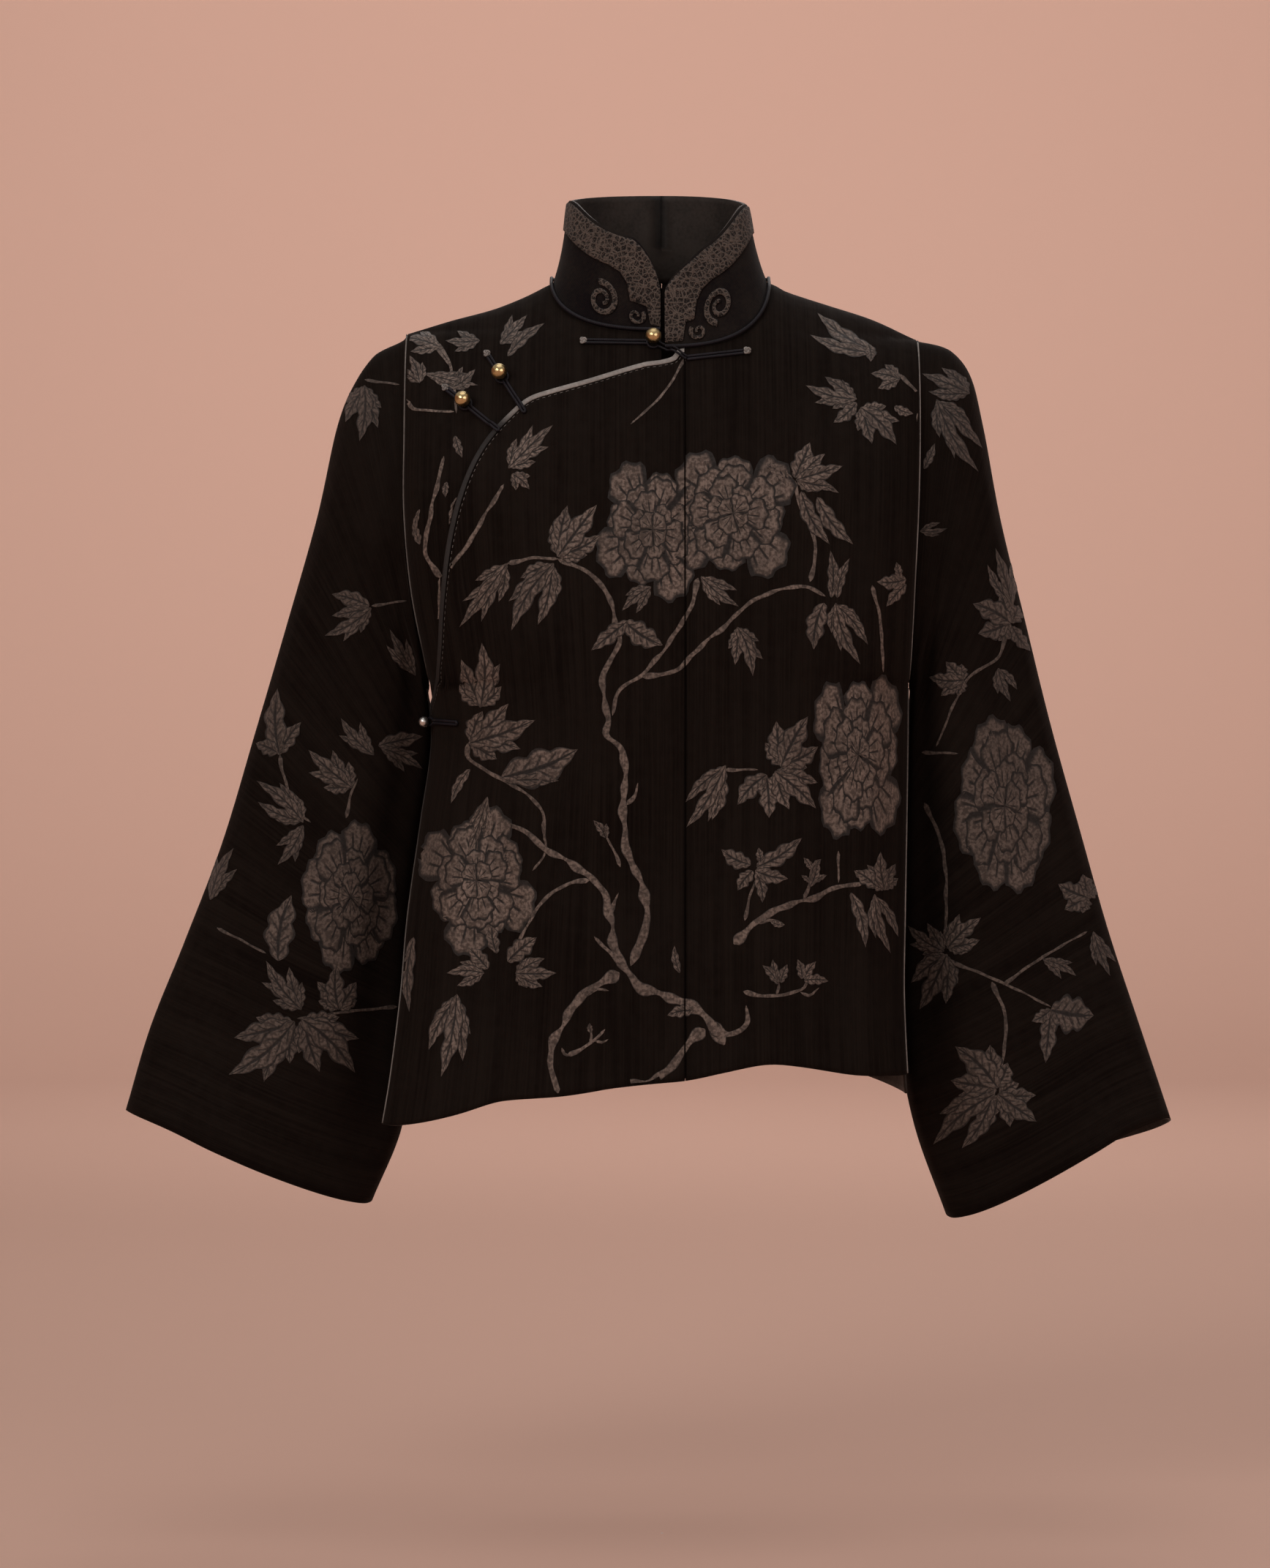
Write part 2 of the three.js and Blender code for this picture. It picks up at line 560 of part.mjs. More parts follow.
// Where a line across the overlap's own surface, square to its edge, ends. x and z say where it starts and along
// is the edge's direction there.
function inwardFrom(x, z, along, distance) {
  const at = overlapPoint(x, z);
  const perX = overlapPoint(x + 0.5, z).sub(at).multiplyScalar(2);
  const perZ = overlapPoint(x, z + 0.5).sub(at).multiplyScalar(2);
  const edge = perX.clone().multiplyScalar(along.x).addScaledVector(perZ, along.y);
  const into = new THREE.Vector3().crossVectors(perX, perZ).cross(edge).setLength(distance);
  const [xx, xz, zz] = [perX.dot(perX), perX.dot(perZ), perZ.dot(perZ)];
  const [ix, iz] = [into.dot(perX), into.dot(perZ)];
  const scale = 1 / (xx * zz - xz * xz);
  return new THREE.Vector2(x + (ix * zz - iz * xz) * scale, z + (iz * xx - ix * xz) * scale);
}

// The edge as spaced points, moved into the cloth.
function edgeLine(inward) {
  const line = spread(EDGE_STEPS, (t) => {
    const at = t * (OVERLAP_EDGE.length - 1);
    const i = Math.min(Math.floor(at), OVERLAP_EDGE.length - 2);
    const x = lerp(OVERLAP_EDGE[i].x, OVERLAP_EDGE[i + 1].x, at - i);
    return new THREE.Vector2(x, overlapEdge(x));
  });
  return line.map((p, i) => {
    if (!inward) return p;
    const along = line[Math.min(i + 1, EDGE_STEPS)].clone().sub(line[Math.max(i - 1, 0)]).normalize();
    const moved = inwardFrom(p.x, p.y, along, inward);
    return moved.setX(THREE.MathUtils.clamp(moved.x, -192.8, CENTRE_SEAM));
  });
}

// How far the overlap stands off the under front: nothing at the centre seam, a full layer beside it.
const overlapLift = (x) => LAYER * smooth((CENTRE_SEAM - 1 - x) / 13);
const overlapPoint = (x, z, lift = 0) => bodyPoint(columnShare(x, z), z, true, overlapLift(x) + lift);

function frontOverlap() {
  const rows = edgeLine(BINDING_WIDTH + 1.5 * GAP).map(({ x, y: top }, j) => {
    const bottom = hemHeight(hemX(x), true);
    return spread(14, (t) => {
      const point = overlapPoint(x, lerp(top, bottom, t ** 1.05));
      return j === 0 ? held(point, "x") : point;
    });
  });
  return new Sheet().addGrid(rows).faceAwayFrom(BODY_MIDDLE).wall(CLOTH);
}

function overlapBinding() {
  const lines = [0, BINDING_WIDTH / 2, BINDING_WIDTH].map(edgeLine);
  const rows = lines[0].map((_, i) =>
    lines.map((line) => {
      const point = overlapPoint(line[i].x, line[i].y, BINDING_RISE);
      return i === 0 ? held(point, "x") : point;
    }),
  );
  return new Sheet().addGrid(rows).faceAwayFrom(BODY_MIDDLE).wall(CLOTH + BINDING_RISE);
}

// ---------------------------------------------------------------- sleeves
function sleevePoint(table, side, turn, share) {
  const row = readRow(table, share);
  const c = Math.cos(turn);
  const s = Math.sin(turn);
  const z = (row.outZ + row.inZ) / 2 + ((row.outZ - row.inZ) / 2) * c;
  const straightX = (row.outX + row.inX) / 2 + ((row.outX - row.inX) / 2) * c;
  const seamX = side * (halfWidth(side, z) + SLEEVE_GAP);
  const free = lerp(seamX, straightX + side * SLEEVE_GAP, smooth(share / 0.12));
  // Above the underarm the sleeve never comes back inside its seam.
  const x = z > UNDERARM - 1 ? side * Math.max(Math.abs(free), Math.abs(seamX) + SLEEVE_CLEAR * share) : free;
  const y = row.mid - (s > 0 ? row.front : row.back) * s;
  const fold = foldAt(SLEEVE_FOLDS, THREE.MathUtils.radToDeg(turn), share, "turn1", "turn2", "at1", "at2");
  const dip = side < 0 ? CUFF_DIP.right : CUFF_DIP.left;
  const down = smooth((share - 0.75) / 0.25) * (dip.single * Math.abs(s) + dip.double * Math.sin(2 * turn));
  // Folds stand out along the section's own normal.
  const out = new THREE.Vector3((row.outX - row.inX) * c, -SLEEVE_ROUND * s, (row.outZ - row.inZ) * c).normalize();
  return new THREE.Vector3(x, y, z - down).addScaledVector(out, fold * smooth((share - 0.04) / 0.2));
}

function sleeve(table, side) {
  const rows = spread(SLEEVE_ROWS, (share) =>
    spread(2 * ARMHOLE_STEPS, (t) => {
      const turn = t === 1 ? 0 : t * 2 * Math.PI;
      const point = sleevePoint(table, side, turn, share);
      return share === 0 ? held(point, "x") : point;
    }),
  );
  const middle = new THREE.Vector3((table[5].outX + table[5].inX) / 2, table[5].mid, (table[5].outZ + table[5].inZ) / 2);
  return new Sheet().addGrid(rows).faceAwayFrom(middle).wall(CLOTH);
}

// ---------------------------------------------------------------- collar
// The collar's outer face by side, by turn round its half of the neck (0 at the centre, 90 degrees at the side of
// the neck) and by share of its height.
function collarPoint(side, front, turn, up, lift = 0) {
  const x = neckX(side, turn);
  const share = neckShare(x);
  const base = bodyPoint(columnShare(x, -40), necklineHeight(x, front), front);
  if (turn === Math.PI / 2) base.y = 0;
  const reachX = neckHalf(side);
  const reachY = front ? COLLAR_FOOT.front : COLLAR_FOOT.back;
  const plan = Math.hypot(base.x / reachX, base.y / reachY);
  const around = Math.atan2(base.x / reachX, -base.y / reachY);
  const sideZ = side > 0 ? COLLAR_TOP.sideLeft : COLLAR_TOP.sideRight;
  const dip = side > 0 ? COLLAR_TOP.dipLeft : COLLAR_TOP.dipRight;
  const top = new THREE.Vector3(
    (side > 0 ? COLLAR_TOP.left : COLLAR_TOP.right) * Math.sin(around) * lerp(1, plan, COLLAR_EASE),
    -(front ? COLLAR_TOP.front : COLLAR_TOP.back) * Math.cos(around) * lerp(1, plan, COLLAR_EASE),
    front ? sideZ - dip * share ** COLLAR_TOP.dipPower : lerp(sideZ, COLLAR_TOP.backZ, share),
  );
  base.addScaledVector(top.clone().sub(base).normalize(), COLLAR_LIFT);
  // The front ends are rounded off.
  const reach = side > 0 ? COLLAR_ROUND.left : COLLAR_ROUND.right;
  const end = clamp01((Math.abs(x) - COLLAR_OPENING) / reach);
  const power = COLLAR_ROUND.power;
  const corner = front ? (1 - (1 - end) ** power) ** (1 / power) : 1;
  const height = up * lerp((COLLAR_FRONT_Z - base.z) / (top.z - base.z), 1, corner);
  const outward = new THREE.Vector3(Math.sin(around), -Math.cos(around), 0.15).normalize();
  return base.lerp(top, height).addScaledVector(outward, lift - COLLAR_HOLLOW * Math.sin(Math.PI * height ** 0.8));
}

const turnAt = (side, x) => Math.asin(Math.min(1, (Math.abs(x) / neckHalf(side)) ** (NECK_RING / 2)));

// The turns of every column, from the wearer's right end round the back to the left end.
function collarColumns() {
  const ends = (side) => [COLLAR_OPENING, 5, 10].map((x) => turnAt(side, x));
  const columns = (side, front, turns) => turns.map((turn) => ({ side, front, turn }));
  const back = (side) => neckTurns(side, GAP / 2);
  return [
    ...columns(-1, true, [...ends(-1), ...neckTurns(-1, 1).slice(1)]),
    ...columns(-1, false, back(-1).slice(0, -1).reverse()),
    ...columns(1, false, back(1).slice(1, -1)),
    ...columns(1, true, [...ends(1), ...neckTurns(1, CENTRE_SEAM + GAP)].reverse()),
  ];
}

function collar() {
  const all = collarColumns();
  const rows = all.map(({ side, front, turn }, j) =>
    spread(4, (up) => {
      const point = collarPoint(side, front, turn, up);
      return j === 0 || j === all.length - 1 ? held(point, "x") : point;
    }),
  );
  return new Sheet().addGrid(rows).faceAwayFrom(NECK_MIDDLE).wall(COLLAR_CLOTH);
}

// ---------------------------------------------------------------- what lies on the collar
// The border's lower edge, on straight lines between its corners.
function borderInner(edge, x) {
  const i = edge.findIndex((corner) => corner.x > x);
  if (i < 1) return i < 0 ? BORDER_INNER : edge[0].up;
  return lerp(edge[i - 1].up, edge[i].up, (x - edge[i - 1].x) / (edge[i].x - edge[i - 1].x));
}

// The wide border along the collar's top and down its front ends, with a column at each corner of its lower edge.
function collarBorder() {
  const columns = collarColumns();
  for (const side of [-1, 1])
    for (const { x } of BORDER_EDGE[side < 0 ? "right" : "left"].slice(1)) {
      const turn = turnAt(side, x);
      const after = columns.findIndex((c) => c.side === side && c.front && (side < 0 ? c.turn > turn : c.turn < turn));
      columns.splice(after, 0, { side, front: true, turn });
    }
  const rows = columns.map(({ side, front, turn }) => {
    const edge = BORDER_EDGE[side < 0 ? "right" : "left"];
    const inner = front ? borderInner(edge, Math.abs(neckX(side, turn))) : BORDER_INNER;
    return spread(3, (t) => collarPoint(side, front, turn, lerp(inner, BORDER_TOP, t), APPLIQUE_GAP + APPLIQUE));
  });
  return new Sheet().addGrid(rows).faceAwayFrom(NECK_MIDDLE).wall(APPLIQUE);
}

// A curl of the border: a narrowing strip that winds in on the collar's face. x and up place its middle.
function collarCurl({ side, x, up, radius, width, turns, from }) {
  const rows = spread(26, (t) => {
    const angle = radians(from) + side * turns * 2 * Math.PI * t;
    const reach = radius * lerp(1, CURL_END.radius, t);
    const half = (width / 2) * lerp(1, CURL_END.width, t);
    return [-half, half].map((d) => {
      const r = reach + d;
      const turn = turnAt(side, x + r * Math.cos(angle) * side);
      return collarPoint(side, true, turn, up + (r * Math.sin(angle)) / COLLAR_HEIGHT, APPLIQUE_GAP + APPLIQUE);
    });
  });
  return new Sheet().addGrid(rows).faceAwayFrom(NECK_MIDDLE).wall(APPLIQUE);
}

// The round satin piping in the angle between the collar's foot and the shoulders.
function collarPiping() {
  const foot = collarColumns().map(({ side, front, turn }) => {
    const x = neckX(side, turn);
    const z = necklineHeight(x, front);
    const low = collarPoint(side, front, turn, 0);
    const upward = collarPoint(side, front, turn, 0.1).sub(low).normalize();
    const atSide = turn === Math.PI / 2;
    const body = atSide ? new THREE.Vector3(side * 0.35, 0, 1).normalize() : bodyNormal(columnShare(x, z), z, front);
    return { low, upward, body };
  });
  const points = foot.map(({ low, upward, body }, i) => {
    const along = foot[Math.min(i + 1, foot.length - 1)].low.clone().sub(foot[Math.max(i - 1, 0)].low).normalize();
    const outward = new THREE.Vector3().crossVectors(upward, along).normalize();
    if (outward.dot(low.clone().sub(NECK_MIDDLE)) < 0) outward.negate();
    const reach = (PIPING_RADIUS + 2 * GAP) / (1 + outward.dot(body));
    return low.clone().addScaledVector(outward, reach).addScaledVector(body, reach);
  });
  const curve = new THREE.CatmullRomCurve3(points, false, "centripetal");
  return closedTube(curve, points.length * 2, PIPING_RADIUS, 6);
}

// A round cord along a curve, closed at both ends.
function closedTube(curve, steps, radius, sides) {
  const frames = curve.computeFrenetFrames(steps, false);
  const points = [];
  for (let i = 0; i <= steps; i++) {
    const centre = curve.getPointAt(i / steps);
    for (let k = 0; k < sides; k++) {
      const angle = (2 * Math.PI * k) / sides;
      const out = frames.normals[i].clone().multiplyScalar(Math.cos(angle));
      points.push(centre.clone().addScaledVector(out.addScaledVector(frames.binormals[i], Math.sin(angle)), radius));
    }
  }
  const faces = [];
  for (let i = 0; i < steps; i++)
    for (let k = 0; k < sides; k++) {
      const [a, b] = [i * sides + k, i * sides + ((k + 1) % sides)];
      faces.push([a, b, b + sides], [a, b + sides, a + sides]);
    }
  const last = steps * sides;
  for (let k = 1; k + 1 < sides; k++) faces.push([0, k + 1, k], [last, last + k, last + k + 1]);
  return solidGeometry(points, faces);
}

// ---------------------------------------------------------------- fastenings
// The outermost cloth at a place on the front: how far it stands off the body's surface there.
function frontLift(x, z) {
  if (x > CENTRE_SEAM) return 0;
  const slope = (overlapEdge(x - 1) - overlapEdge(x + 1)) / 2;
  const inside = (overlapEdge(x) - z) / Math.hypot(1, slope);
  return (LAYER + BINDING_RISE) * smooth((inside + 7) / 4.5) * smooth((CENTRE_SEAM + 2 - x) / 10);
}

const frontPoint = (x, z, lift) => bodyPoint(columnShare(x, z), z, true, frontLift(x, z) + lift);

function strap(x, z, { angle, from, to, drop = 0 }) {
  const along = new THREE.Vector2(Math.cos(radians(angle)), Math.sin(radians(angle)));
  const step = x < -180 ? STRAP_STEP.side : STRAP_STEP.front;
  const rows = spread(Math.max(3, Math.round((to - from) / step)), (t) => {
    const reach = lerp(from, to, t);
    return [-0.5, 0.5].map((k) => {
      const across = k * STRAP_WIDTH * (t > 0.99 ? 0.5 : 1);
      const [atX, atZ] = [x + along.x * reach - along.y * across, z - drop + along.y * reach + along.x * across];
      return frontPoint(atX, atZ, STRAP_GAP + STRAP_THICKNESS);
    });
  });
  return new Sheet().addGrid(rows).faceAwayFrom(BODY_MIDDLE).wall(STRAP_THICKNESS);
}

function ball({ x, z, radius }) {
  const centre = frontPoint(x, z, STRAP_GAP + STRAP_THICKNESS + GAP + radius);
  const geometry = new THREE.IcosahedronGeometry(radius, 2).translate(centre.x, centre.y, centre.z);
  return mergeVertices(geometry.deleteAttribute("uv").deleteAttribute("normal"), 1e-3);
}

// ---------------------------------------------------------------- assembly
addPiece("body_left", bodyLeft(), VELVET);
addPiece("body_right", bodyRight(), UNDER_VELVET);
addPiece("front_overlap", frontOverlap(), VELVET);
addPiece("overlap_binding", overlapBinding(), EDGE_SILK);
addPiece("sleeve_left", sleeve(SLEEVE_LEFT, 1), VELVET);
addPiece("sleeve_right", sleeve(SLEEVE_RIGHT, -1), VELVET);
addPiece("collar", collar(), VELVET);
addPiece("collar_border", collarBorder(), BORDER);
for (const curl of COLLAR_CURLS) addPiece(`collar_curl_${curl.name}`, collarCurl(curl), BORDER);
addPiece("collar_piping", collarPiping(), PIPING_SATIN);
for (const { name, at, knot, loop } of FASTENINGS) {
  addPiece(`button_${name}`, ball(at), name === "side" ? SILVER : BRASS);
  if (knot) addPiece(`strap_knot_${name}`, strap(at.x, at.z, knot), PIPING_SATIN);
  addPiece(`strap_loop_${name}`, strap(at.x, at.z, loop), PIPING_SATIN);
}

export default robe;
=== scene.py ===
"""A short Chinese robe of figured velvet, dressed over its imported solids.

The pieces follow the same driving dimensions as the solids, in millimetres, and become meshes in metres.
"""

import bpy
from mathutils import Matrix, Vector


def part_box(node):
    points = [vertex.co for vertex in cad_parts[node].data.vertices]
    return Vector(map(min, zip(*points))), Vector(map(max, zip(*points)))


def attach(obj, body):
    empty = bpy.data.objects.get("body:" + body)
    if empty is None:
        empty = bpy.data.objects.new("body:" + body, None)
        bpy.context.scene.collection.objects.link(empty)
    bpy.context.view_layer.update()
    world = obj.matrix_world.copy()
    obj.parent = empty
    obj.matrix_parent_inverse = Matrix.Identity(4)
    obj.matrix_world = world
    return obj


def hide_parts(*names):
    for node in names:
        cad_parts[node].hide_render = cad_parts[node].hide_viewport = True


bl_info = {
    "name": "Chinese robe",
    "version": (1, 0, 0),
    "blender": (4, 5, 0),
    "location": "3D View > Sidebar > Robe",
    "description": "Builds a worn Chinese robe of figured velvet over its solid frame",
    "category": "Add Mesh",
}

import math

import bpy
import numpy as np
from mathutils import Vector

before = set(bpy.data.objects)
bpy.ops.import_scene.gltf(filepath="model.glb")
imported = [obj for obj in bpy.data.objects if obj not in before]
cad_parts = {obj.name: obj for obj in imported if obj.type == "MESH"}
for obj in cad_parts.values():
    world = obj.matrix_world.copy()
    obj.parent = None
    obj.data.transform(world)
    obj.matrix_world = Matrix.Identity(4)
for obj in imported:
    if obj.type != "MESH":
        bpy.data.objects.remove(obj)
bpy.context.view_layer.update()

MM = 0.001

# ---------------------------------------------------------------- driving dimensions, as in the solids
# Where a value is given for each side, -1 is the wearer's right and 1 the wearer's left.
CLOTH = 1.8  # velvet with its backing
GAP = 0.3  # between pieces at a seam
SLEEVE_GAP = 1  # between the body and a sleeve
LAYER = CLOTH + 1.1  # how far the overlap lies outside the under front
UNDER_SINK = 2.4  # how far the under front sinks in where it is covered
UNDER_HEM, UNDER_HEM_SLOPE = -545, 0.1  # the under front's hem, which drops towards the side
CENTRE_SEAM = 16  # the front centre seam hangs a little to the wearer's left
BODY_HALF = 193  # centre to the sleeve seam at the shoulder
NECK_HALF = {-1: 82.5, 1: 79.5}  # centre to each side of the neck opening
NECK_DROP = {-1: 45, 1: 58.5}  # neckline below the shoulder fold at the centre front
NECK_RISE_BACK = 6
NECK_POWER = 2.6  # how square the neckline is in front
NECK_RING = 2.9  # how the columns are spread round it
RIDGE_RISE, RIDGE_POWER = 46, 1.8  # how far the back's curve would rise inside the neck opening
UNDERARM = -305  # height of the bottom of the armhole
ARMHOLE_FRONT, ARMHOLE_BACK = 50, 46  # how far the armhole reaches forward and back
SHOULDER_ROUND = 150  # height over which the front and back curve away from the shoulder fold
SHOULDER_POWER = 1.8
VENT_TOP, VENT_FULL = -520, -600  # the side vents start at the first height and are fully open at the second
VENT_OPEN = 10  # how far front and back stand from the side line there
HEM_LEVEL = -610  # height at which the hem's own widths are measured
BINDING_WIDTH = 3.8  # silk round the overlap's free edge
BINDING_RISE = 0.4  # how far it stands above the velvet
SLEEVE_CLEAR = 12  # the least distance of a sleeve's outer side from the seam line at the cuff
SLEEVE_ROUND = 260  # how strongly its folds face forward and back rather than up and out
COLLAR_CLOTH = 2.6
COLLAR_LIFT = 1  # the collar's foot above the neckline
COLLAR_OPENING = 1.6  # half the gap between the collar's ends
# The collar's top edge: its reach to each side, forward and back, its height at each side and behind, and how
# far each front end dips below its side.
COLLAR_TOP_X = {-1: 71.5, 1: 65}
COLLAR_TOP_FRONT, COLLAR_TOP_BACK, COLLAR_BACK_Z = 60, 57, 72
COLLAR_SIDE_Z = {-1: 60, 1: 57}
COLLAR_DIP = {-1: 35, 1: 46}
COLLAR_DIP_POWER = 1.55
COLLAR_FOOT_FRONT, COLLAR_FOOT_BACK = 76, 73  # how far its foot reaches forward and back
COLLAR_EASE = 0.3  # how much of the foot's squareness its top keeps
COLLAR_HOLLOW = 1.8  # how far its side curves in between foot and top
COLLAR_FRONT_Z = -15  # where the rounded collar ends start to part
COLLAR_ROUND = {-1: 24, 1: 40}
COLLAR_ROUND_POWER = 1.6
COLLAR_HEIGHT = 68
# The lower edge of the collar's border by distance from the centre front, as a share of the collar's height.
BORDER_INNER = 0.64
BORDER_TOP = 0.97
BORDER_EDGE = {
    -1: ([0, 9, 12, 25, 28, 34, 44], [0.08, 0.08, 0.31, 0.31, 0.5, 0.6, BORDER_INNER]),
    1: ([0, 15, 18, 25, 28, 34, 44], [0.08, 0.08, 0.31, 0.31, 0.5, 0.6, BORDER_INNER]),
}
APPLIQUE = 0.8  # how thick what is sewn on the collar is
APPLIQUE_GAP = 0.5  # between it and the collar
PIPING_RADIUS = 1.4

# ---------------------------------------------------------------- sizes of the dressing alone
SLEEVE_FLAT = 0.64  # length of a sleeve's cloth, in metres
SLEEVE_GIRTH = (470, 560)  # its width round the armhole and the cuff, for the pile's ribs
SLEEVE_TURN = 0.085  # the same for the figure, in metres for each radian
CURL_END = (0.22, 0.55)  # what is left of a curl's radius and width at its inner end
CORD, LOOP_CORD = 1.05, 0.85  # radius of the cord of straps and loops
CORD_LIFT = 1.25  # how far its middle lies above the cloth
EDGE_CORD, SEAM_CORD = 0.6, 0.55  # radius of the silk along armholes and sides, and of the centre seams
STITCH_LENGTH, STITCH_RADIUS = 2.2, 0.2
FIGURE_LAYER = 0.07  # how much further out each layer of petals and leaves lies
FIGURE_SIDE = 191.5  # the figure on the body ends here
SLEEVE_FIGURE_SHADE = 0.62  # brightness of the figure on the sleeves, dimmed as painted shade

# The camera's place, and the drawing of the figure as it is seen from there: its middle, the distance at which
# its units are millimetres, and its units to a millimetre at the robe.
CAMERA = (-20.6, -3333, -381.4)
DRAWING_MIDDLE = (868, 1071.5)
DRAWING_REACH = 6000
DRAWING_SCALE = 1.8

# How finely the pieces are divided.
NECK_STEPS, SHOULDER_STEPS = 20, 28
ARMHOLE_STEPS, HEM_STEPS = 66, 68
EDGE_STEPS, OVERLAP_STEPS = 104, 120
SLEEVE_ROWS, SLEEVE_TURNS = 124, 112


class Table:
    """Rows of numbers in named columns, read on a smooth curve along the first column."""

    def __init__(self, columns, rows):
        data = np.array(rows, float)
        data = data[np.argsort(data[:, 0])]
        self.key = data[:, 0]
        self.columns = dict(zip(columns.split(), data.T))

    def read(self, column, at):
        key, value = self.key, self.columns[column]
        slope = np.gradient(value, key)
        slope[1:-1] = (value[2:] - value[:-2]) / (key[2:] - key[:-2])
        i = np.clip(np.searchsorted(key, at, side="left") - 1, 0, len(key) - 2)
        span = key[i + 1] - key[i]
        t = np.clip((at - key[i]) / span, 0, 1)
        rise = 2 * t**3 - 3 * t**2 + 1
        bend = (t**3 - 2 * t**2 + t) * slope[i] + (t**3 - t**2) * slope[i + 1]
        return rise * value[i] + (1 - rise) * value[i + 1] + bend * span


BODY_SECTIONS = Table("z right left front back power side", [
    (20, 193, 193, 96, 90, 2.5, 0), (-60, 193, 193, 102, 95, 2.5, 0), (-120, 193, 192.5, 109, 99, 2.5, 0),
    (-177, 193, 191, 115, 101, 2.5, 0), (-236, 188, 188.5, 118, 100, 2.5, 0), (-305, 176, 186.5, 117, 97, 2.5, 0),
    (-349, 172, 186, 115, 94, 2.4, -4), (-409, 180, 185, 113, 92, 2.3, -9), (-482, 190, 183.5, 114, 95, 2.3, -14),
    (-541, 195, 182.5, 116, 99, 2.3, -19), (-600, 202, 184.5, 119, 103, 2.3, -23),
    (-645, 209.5, 188, 121, 106, 2.3, -25),
])
SHOULDER_FOLD = Table("x left right", [
    (0, 0, 0), (55, 0, 0), (79, -0.5, -0.5), (84, -2, -1.5), (92, -6.8, -5.8), (106, -11.8, -12.6),
    (128, -18.8, -21.2), (160, -29.3, -29.8), (193, -44.5, -39.8), (210, -51, -44),
])
HEM = Table("x front back", [
    (-215, -637, -640), (-190, -635, -635), (-153, -626, -627), (-118, -615, -619), (-73, -610, -612),
    (-30, -603.5, -607), (16, -599, -603), (45, -593, -599), (78, -587, -597), (105, -589.5, -598),
    (139, -596, -601), (168, -598, -609), (195, -599, -619),
])
EDGE_ROWS = [
    (16, -58), (11, -60), (7, -66), (0, -69), (-14.7, -71.3), (-56, -84), (-84, -92), (-100, -98), (-116, -112),
    (-130, -128), (-141, -147), (-151, -173), (-159.7, -204), (-166.8, -238), (-175, -275), (-184.7, -309),
    (-190.5, -321), (-192, -326), (-192.7, -330),
]
OVERLAP_EDGE = Table("x z", EDGE_ROWS)

# Soft folds: x and z where each starts and ends, width and how far it stands out. The first rows are those of
# the solids, and the finer ones after them are the creases between.
FRONT_FOLDS = [
    (-150, -400, -176, -650, 20, 7), (-112, -420, -128, -650, 17, -6), (-66, -460, -78, -650, 24, 4.5),
    (6, -330, -8, -640, 18, -5), (72, -380, 88, -640, 26, 7), (118, -300, 130, -640, 15, -5.5),
    (152, -140, 158, -520, 13, 4), (-134, -180, -146, -380, 14, -4), (60, -80, 128, -260, 14, -3),
    (-96, -300, -104, -640, 9, 1.6), (-38, -420, -46, -640, 10, -1.6), (34, -420, 40, -640, 9, 1.5),
    (104, -380, 112, -640, 8, 1.4), (140, -160, 150, -420, 7, -1.8), (-150, -200, -120, -330, 8, -1.6),
    (-96, -130, -150, -250, 8, 1.3), (96, -60, 150, -190, 9, 1.5), (-60, -150, -76, -420, 13, 1.2),
    (30, -120, 22, -380, 12, -1.1), (82, -170, 96, -400, 11, 1.2), (-172, -330, -182, -560, 8, -2.0),
    (166, -320, 168, -560, 7, -1.8),
]
BACK_FOLDS = [
    (-140, -330, -158, -650, 20, 7), (-96, -300, -108, -650, 17, -7), (-48, -380, -58, -650, 22, 6),
    (2, -200, 4, -640, 16, -5), (52, -360, 62, -640, 24, 6), (104, -280, 112, -640, 17, -7),
    (148, -320, 154, -640, 16, 5), (112, -90, 160, -260, 15, -5), (-112, -90, -160, -260, 15, -5),
    (-70, -120, -110, -320, 10, 1.8), (74, -120, 112, -320, 10, 1.8), (-24, -300, -30, -620, 9, 1.6),
    (30, -320, 34, -620, 9, -1.6), (-124, -160, -168, -330, 8, -1.8), (128, -160, 168, -330, 8, -1.8),
    (80, -420, 86, -640, 8, -1.6), (-78, -430, -84, -640, 8, 1.6),
]

SLEEVE_COLUMNS = "index outX outZ inX inZ mid front back"
SLEEVES = {
    -1: Table(SLEEVE_COLUMNS, [
        (0, -193, -39.8, -176, -305, 0, 50, 46), (1, -214.2, -52.6, -176.8, -312, 4, 54, 49),
        (2, -232.1, -75.1, -175.6, -322, 10, 57, 52), (3, -246.6, -108.6, -172.6, -336, 17, 60, 54),
        (4, -262.9, -178.4, -172, -364, 26, 61, 55), (5, -286.7, -259.8, -178.5, -408, 34, 60, 55),
        (6, -310.9, -340.5, -187, -460, 40, 58, 55), (7, -337.1, -426.6, -192, -520, 44, 57, 55),
        (8, -366.7, -503.7, -194, -580, 46, 57, 55), (9, -392.8, -568.7, -198.5, -643, 48, 58, 56),
        (10, -411.1, -631.8, -221.5, -701, 44, 60, 57),
    ]),
    1: Table(SLEEVE_COLUMNS, [
        (0, 193, -44.5, 186.5, -305, 0, 50, 46), (1, 214.3, -49.6, 187.4, -312, 4, 54, 49),
        (2, 232.8, -69.1, 186.9, -322, 10, 57, 52), (3, 243.8, -108.6, 185, -336, 17, 60, 54),
        (4, 257.7, -178.4, 183.2, -364, 26, 61, 55), (5, 277.5, -256.7, 182, -408, 34, 60, 55),
        (6, 297.7, -336.5, 181, -460, 39, 58, 55), (7, 320.2, -416.4, 180.5, -520, 42, 57, 55),
        (8, 342.2, -493.5, 182, -582, 44, 57, 55), (9, 366, -566.4, 193.5, -645, 44, 58, 56),
        (10, 389.9, -640.1, 217, -711, 40, 60, 57),
    ]),
}
